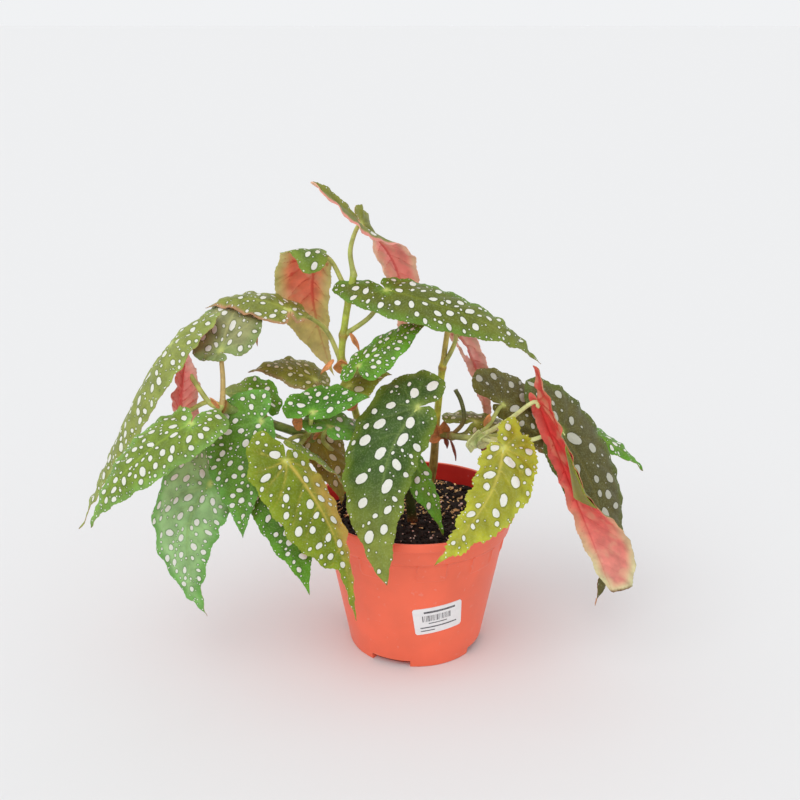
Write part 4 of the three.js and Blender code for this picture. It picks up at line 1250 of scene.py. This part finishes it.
def on_wall(x, z, lift):
    """Points on the pot's wall at the label's own x and z, in mm from its middle."""
    tilt = math.radians(LABEL["tilt"])
    sideways = x * math.cos(tilt) + z * math.sin(tilt)
    level = LABEL["z"] + z * math.cos(tilt) - x * math.sin(tilt)
    angle = math.radians(LABEL["turn"]) + sideways / wall_radius(LABEL["z"])
    radius = wall_radius(level) + LABEL["gap"] + lift
    return np.column_stack([radius * np.sin(angle), -radius * np.cos(angle), level])


def label_marks(rng):
    """A solid block, a row of bars and three lines, as x from and to, and z from and to."""
    marks = [(-9.5, 12, 6.6, 8.2)]
    x = -11.0
    while x < 9:
        wide = rng.choice([0.25, 0.4, 0.7])
        marks.append((x, x + wide, -0.4, 4.6))
        x += wide + rng.choice([0.35, 0.5, 0.8])
    return marks + [(-7, 6, -2.6, -1.8), (-13, 13, -6, -5), (-13, -3, -8.6, -7.8)]


def label_parts():
    w, h, corner = LABEL["width"] / 2, LABEL["height"] / 2, LABEL["corner"]
    rows, columns = 23, 35
    x = np.linspace(-w, w, columns)
    inset = np.maximum(0, np.abs(x) - (w - corner))
    top = h - (corner - np.sqrt(np.maximum(0, corner**2 - inset**2)))
    u, z = np.tile(x, rows), np.outer(np.linspace(-1, 1, rows), top).ravel()
    parts = Parts()
    parts.add(*grid_plate(*(on_wall(u, z, lift) for lift in PAPER_LIFT), rows, columns))
    for x0, x1, z0, z1 in label_marks(np.random.default_rng(5)):
        u = np.linspace(x0, x1, max(2, int((x1 - x0) / 1.5) + 2))
        u, z = np.tile(u, 2), np.repeat([z0, z1], len(u))
        parts.add(*grid_plate(*(on_wall(u, z, lift) for lift in INK_LIFT), 2, len(u) // 2), slot=1)
    return parts


def printed(name, grain, wear, colour, worn, roughness):
    """A colour that is worn in patches; grain is the noise's scale and detail, wear the ramp over it."""
    m = Shader(name)
    return m.finish(Base_Color=m.mix(m.ramp(m.grain(*grain), *wear), colour, worn), Roughness=roughness)


PAPER, PAPER_WORN = rgb(240, 240, 240), rgb(222, 222, 224)
INK, INK_WORN = rgb(70, 70, 74), rgb(150, 150, 154)
label_materials = [
    printed("label_paper", (220, 3), (0.35, 0.7, 0, 0.35), PAPER, PAPER_WORN, 0.35),
    printed("label_ink", (900, 2), (0.4, 0.65, 0, 0.6), INK, INK_WORN, 0.5),
]
label_parts().hand_over("label_sheet", "label", "label", label_materials)

# ---------- soil ----------

EARTH, HUSK, PERLITE = rgb(44, 36, 32), rgb(236, 200, 142), rgb(236, 208, 192)
SOIL_TOP, SOIL_MOUND, SOIL_BACK, SOIL_FLOOR = 90.0, 4.0, 4.0, 3.0
# How many lumps of each kind, their sizes, their flatness, their colour and how far it strays.
LUMPS = (
    (1500, (0.6, 1.9), (0.6, 0.9), EARTH, 0.5), (900, (1.1, 2.4), (0.3, 0.35), HUSK, 0.25),
    (150, (0.6, 1.3), (0.7, 0.8), PERLITE, 0.15),
)


def soil_height(x, y):
    """Height of the soil, without its lumps."""
    share = np.hypot(x, y) / wall_radius(SOIL_TOP)
    return SOIL_TOP + SOIL_MOUND * (1 - smoothstep(share, 0.15, 1)) + SOIL_BACK * smoothstep(y, 5, 55)


def add_ground(parts):
    """Adds the soil's bumpy top, closed by hidden rings down the pot's inside and across its floor."""
    rings, spokes = 46, 132
    radius = np.linspace(0.2, wall_radius(SOIL_TOP) + 1.2, rings)
    low, shoulder = SOIL_FLOOR + 0.5, SOIL_TOP - 4
    angle = np.linspace(0, 2 * math.pi, spokes, endpoint=False)
    r, a = (g.ravel() for g in np.meshgrid(radius, angle, indexing="ij"))
    x, y = r * np.cos(a), r * np.sin(a)
    bumps = np.array([noise.fractal(Vector((u / 7, v / 7, 3.1)), 0.8, 2.0, 4) for u, v in zip(x, y)])
    turns = np.column_stack([np.cos(angle), np.sin(angle)])
    hidden = (wall_radius(shoulder) - 1.2, shoulder), (wall_radius(low) - 1.2, low), (0.2, low)
    points = [np.column_stack([x, y, soil_height(x, y) + 1.5 * bumps - 0.8])]
    points += [np.column_stack([turns * reach, np.full(spokes, level)]) for reach, level in hidden]
    parts.add(np.vstack(points), grid_triangles(rings + len(hidden), spokes, looped=True)[:, ::-1], EARTH)


def add_lumps(parts, rng):
    ball = bmesh.new()
    bmesh.ops.create_icosphere(ball, subdivisions=1, radius=1)
    core = np.array([v.co for v in ball.verts])
    core_faces = np.array([[v.index for v in f.verts] for f in ball.faces])
    ball.free()
    for amount, sizes, flat, colour, spread in LUMPS:
        for _ in range(amount):
            reach, way = (wall_radius(SOIL_TOP) - 1.5) * math.sqrt(rng.uniform()), rng.uniform(0, 2 * math.pi)
            u, v = reach * math.cos(way), reach * math.sin(way)
            if colour is HUSK and rng.uniform() < smoothstep(-v + 0.2 * abs(u), -20, 30):
                continue
            size = rng.uniform(*sizes)
            shape = core * rng.uniform(0.75, 1.25, core.shape)
            shape = shape * [size, size * rng.uniform(*flat), size * rng.uniform(*flat)]
            turn = Euler(rng.uniform(-1, 1, 3) * [0.5, 0.5, 3.14]).to_matrix()
            place = [u, v, soil_height(u, v) - 0.5 + rng.uniform(-0.3, 0.6) * size * flat[0]]
            tone = colour * rng.uniform(1 - spread, 1 + spread * 1.6)
            parts.add(shape @ np.array(turn).T + place, core_faces, tone)


def soil_material(name):
    m = Shader(name)
    m.bump(m.grain(900, 4), 0.9, 0.5)
    base = m.times(m.tone(), m.ramp(m.grain(480, 4), 0.25, 0.75, 0.5, 1.6))
    return m.finish(Base_Color=base, Roughness=0.85, Specular_IOR_Level=0.25)


soil = Parts()
add_ground(soil)
add_lumps(soil, np.random.default_rng(11))
soil.hand_over("soil_mix", "soil", "soil", [soil_material("soil_mix")])

# ---------- camera, floor and light ----------

scene = bpy.context.scene
CAMERA_PLACE, CAMERA_DIP = (-10.84, -700, 431), 19.7
camera_data = bpy.data.cameras.new("camera")
camera_data.sensor_width = 36
camera_data.lens = 49.19
camera = placed("camera", camera_data)
camera.location = Vector(CAMERA_PLACE) * MM
camera.rotation_euler = (math.radians(90 - CAMERA_DIP), 0, 0)
scene.camera = camera

FLOOR_HALF = 30
corners = [(x * FLOOR_HALF, y * FLOOR_HALF, 0) for x, y in ((-1, -1), (1, -1), (1, 1), (-1, 1))]
floor_mesh = bpy.data.meshes.new("floor")
floor_mesh.from_pydata(corners, [], [(0, 1, 2, 3)])
floor_mesh.materials.append(
    Shader("floor_paper").finish(Base_Color=(0.79, 0.79, 0.79, 1), Roughness=0.9, Specular_IOR_Level=0.1)
)
floor = placed("floor", floor_mesh)

world = bpy.data.worlds.new("studio")
world.use_nodes = True
background = world.node_tree.nodes["Background"]
background.inputs["Color"].default_value = (0.975, 0.985, 1, 1)
background.inputs["Strength"].default_value = 0.9
scene.world = world

# The lamp is a sun, so the floor is as bright far away as it is near the pot.
lamp = bpy.data.lights.new("key", "SUN")
lamp.angle = math.radians(50)
lamp.energy = 0.85
placed("key", lamp).rotation_euler = Vector((0.5, 0.75, -1.1)).to_track_quat("-Z", "Y").to_euler()
scene.view_settings.view_transform = "Standard"
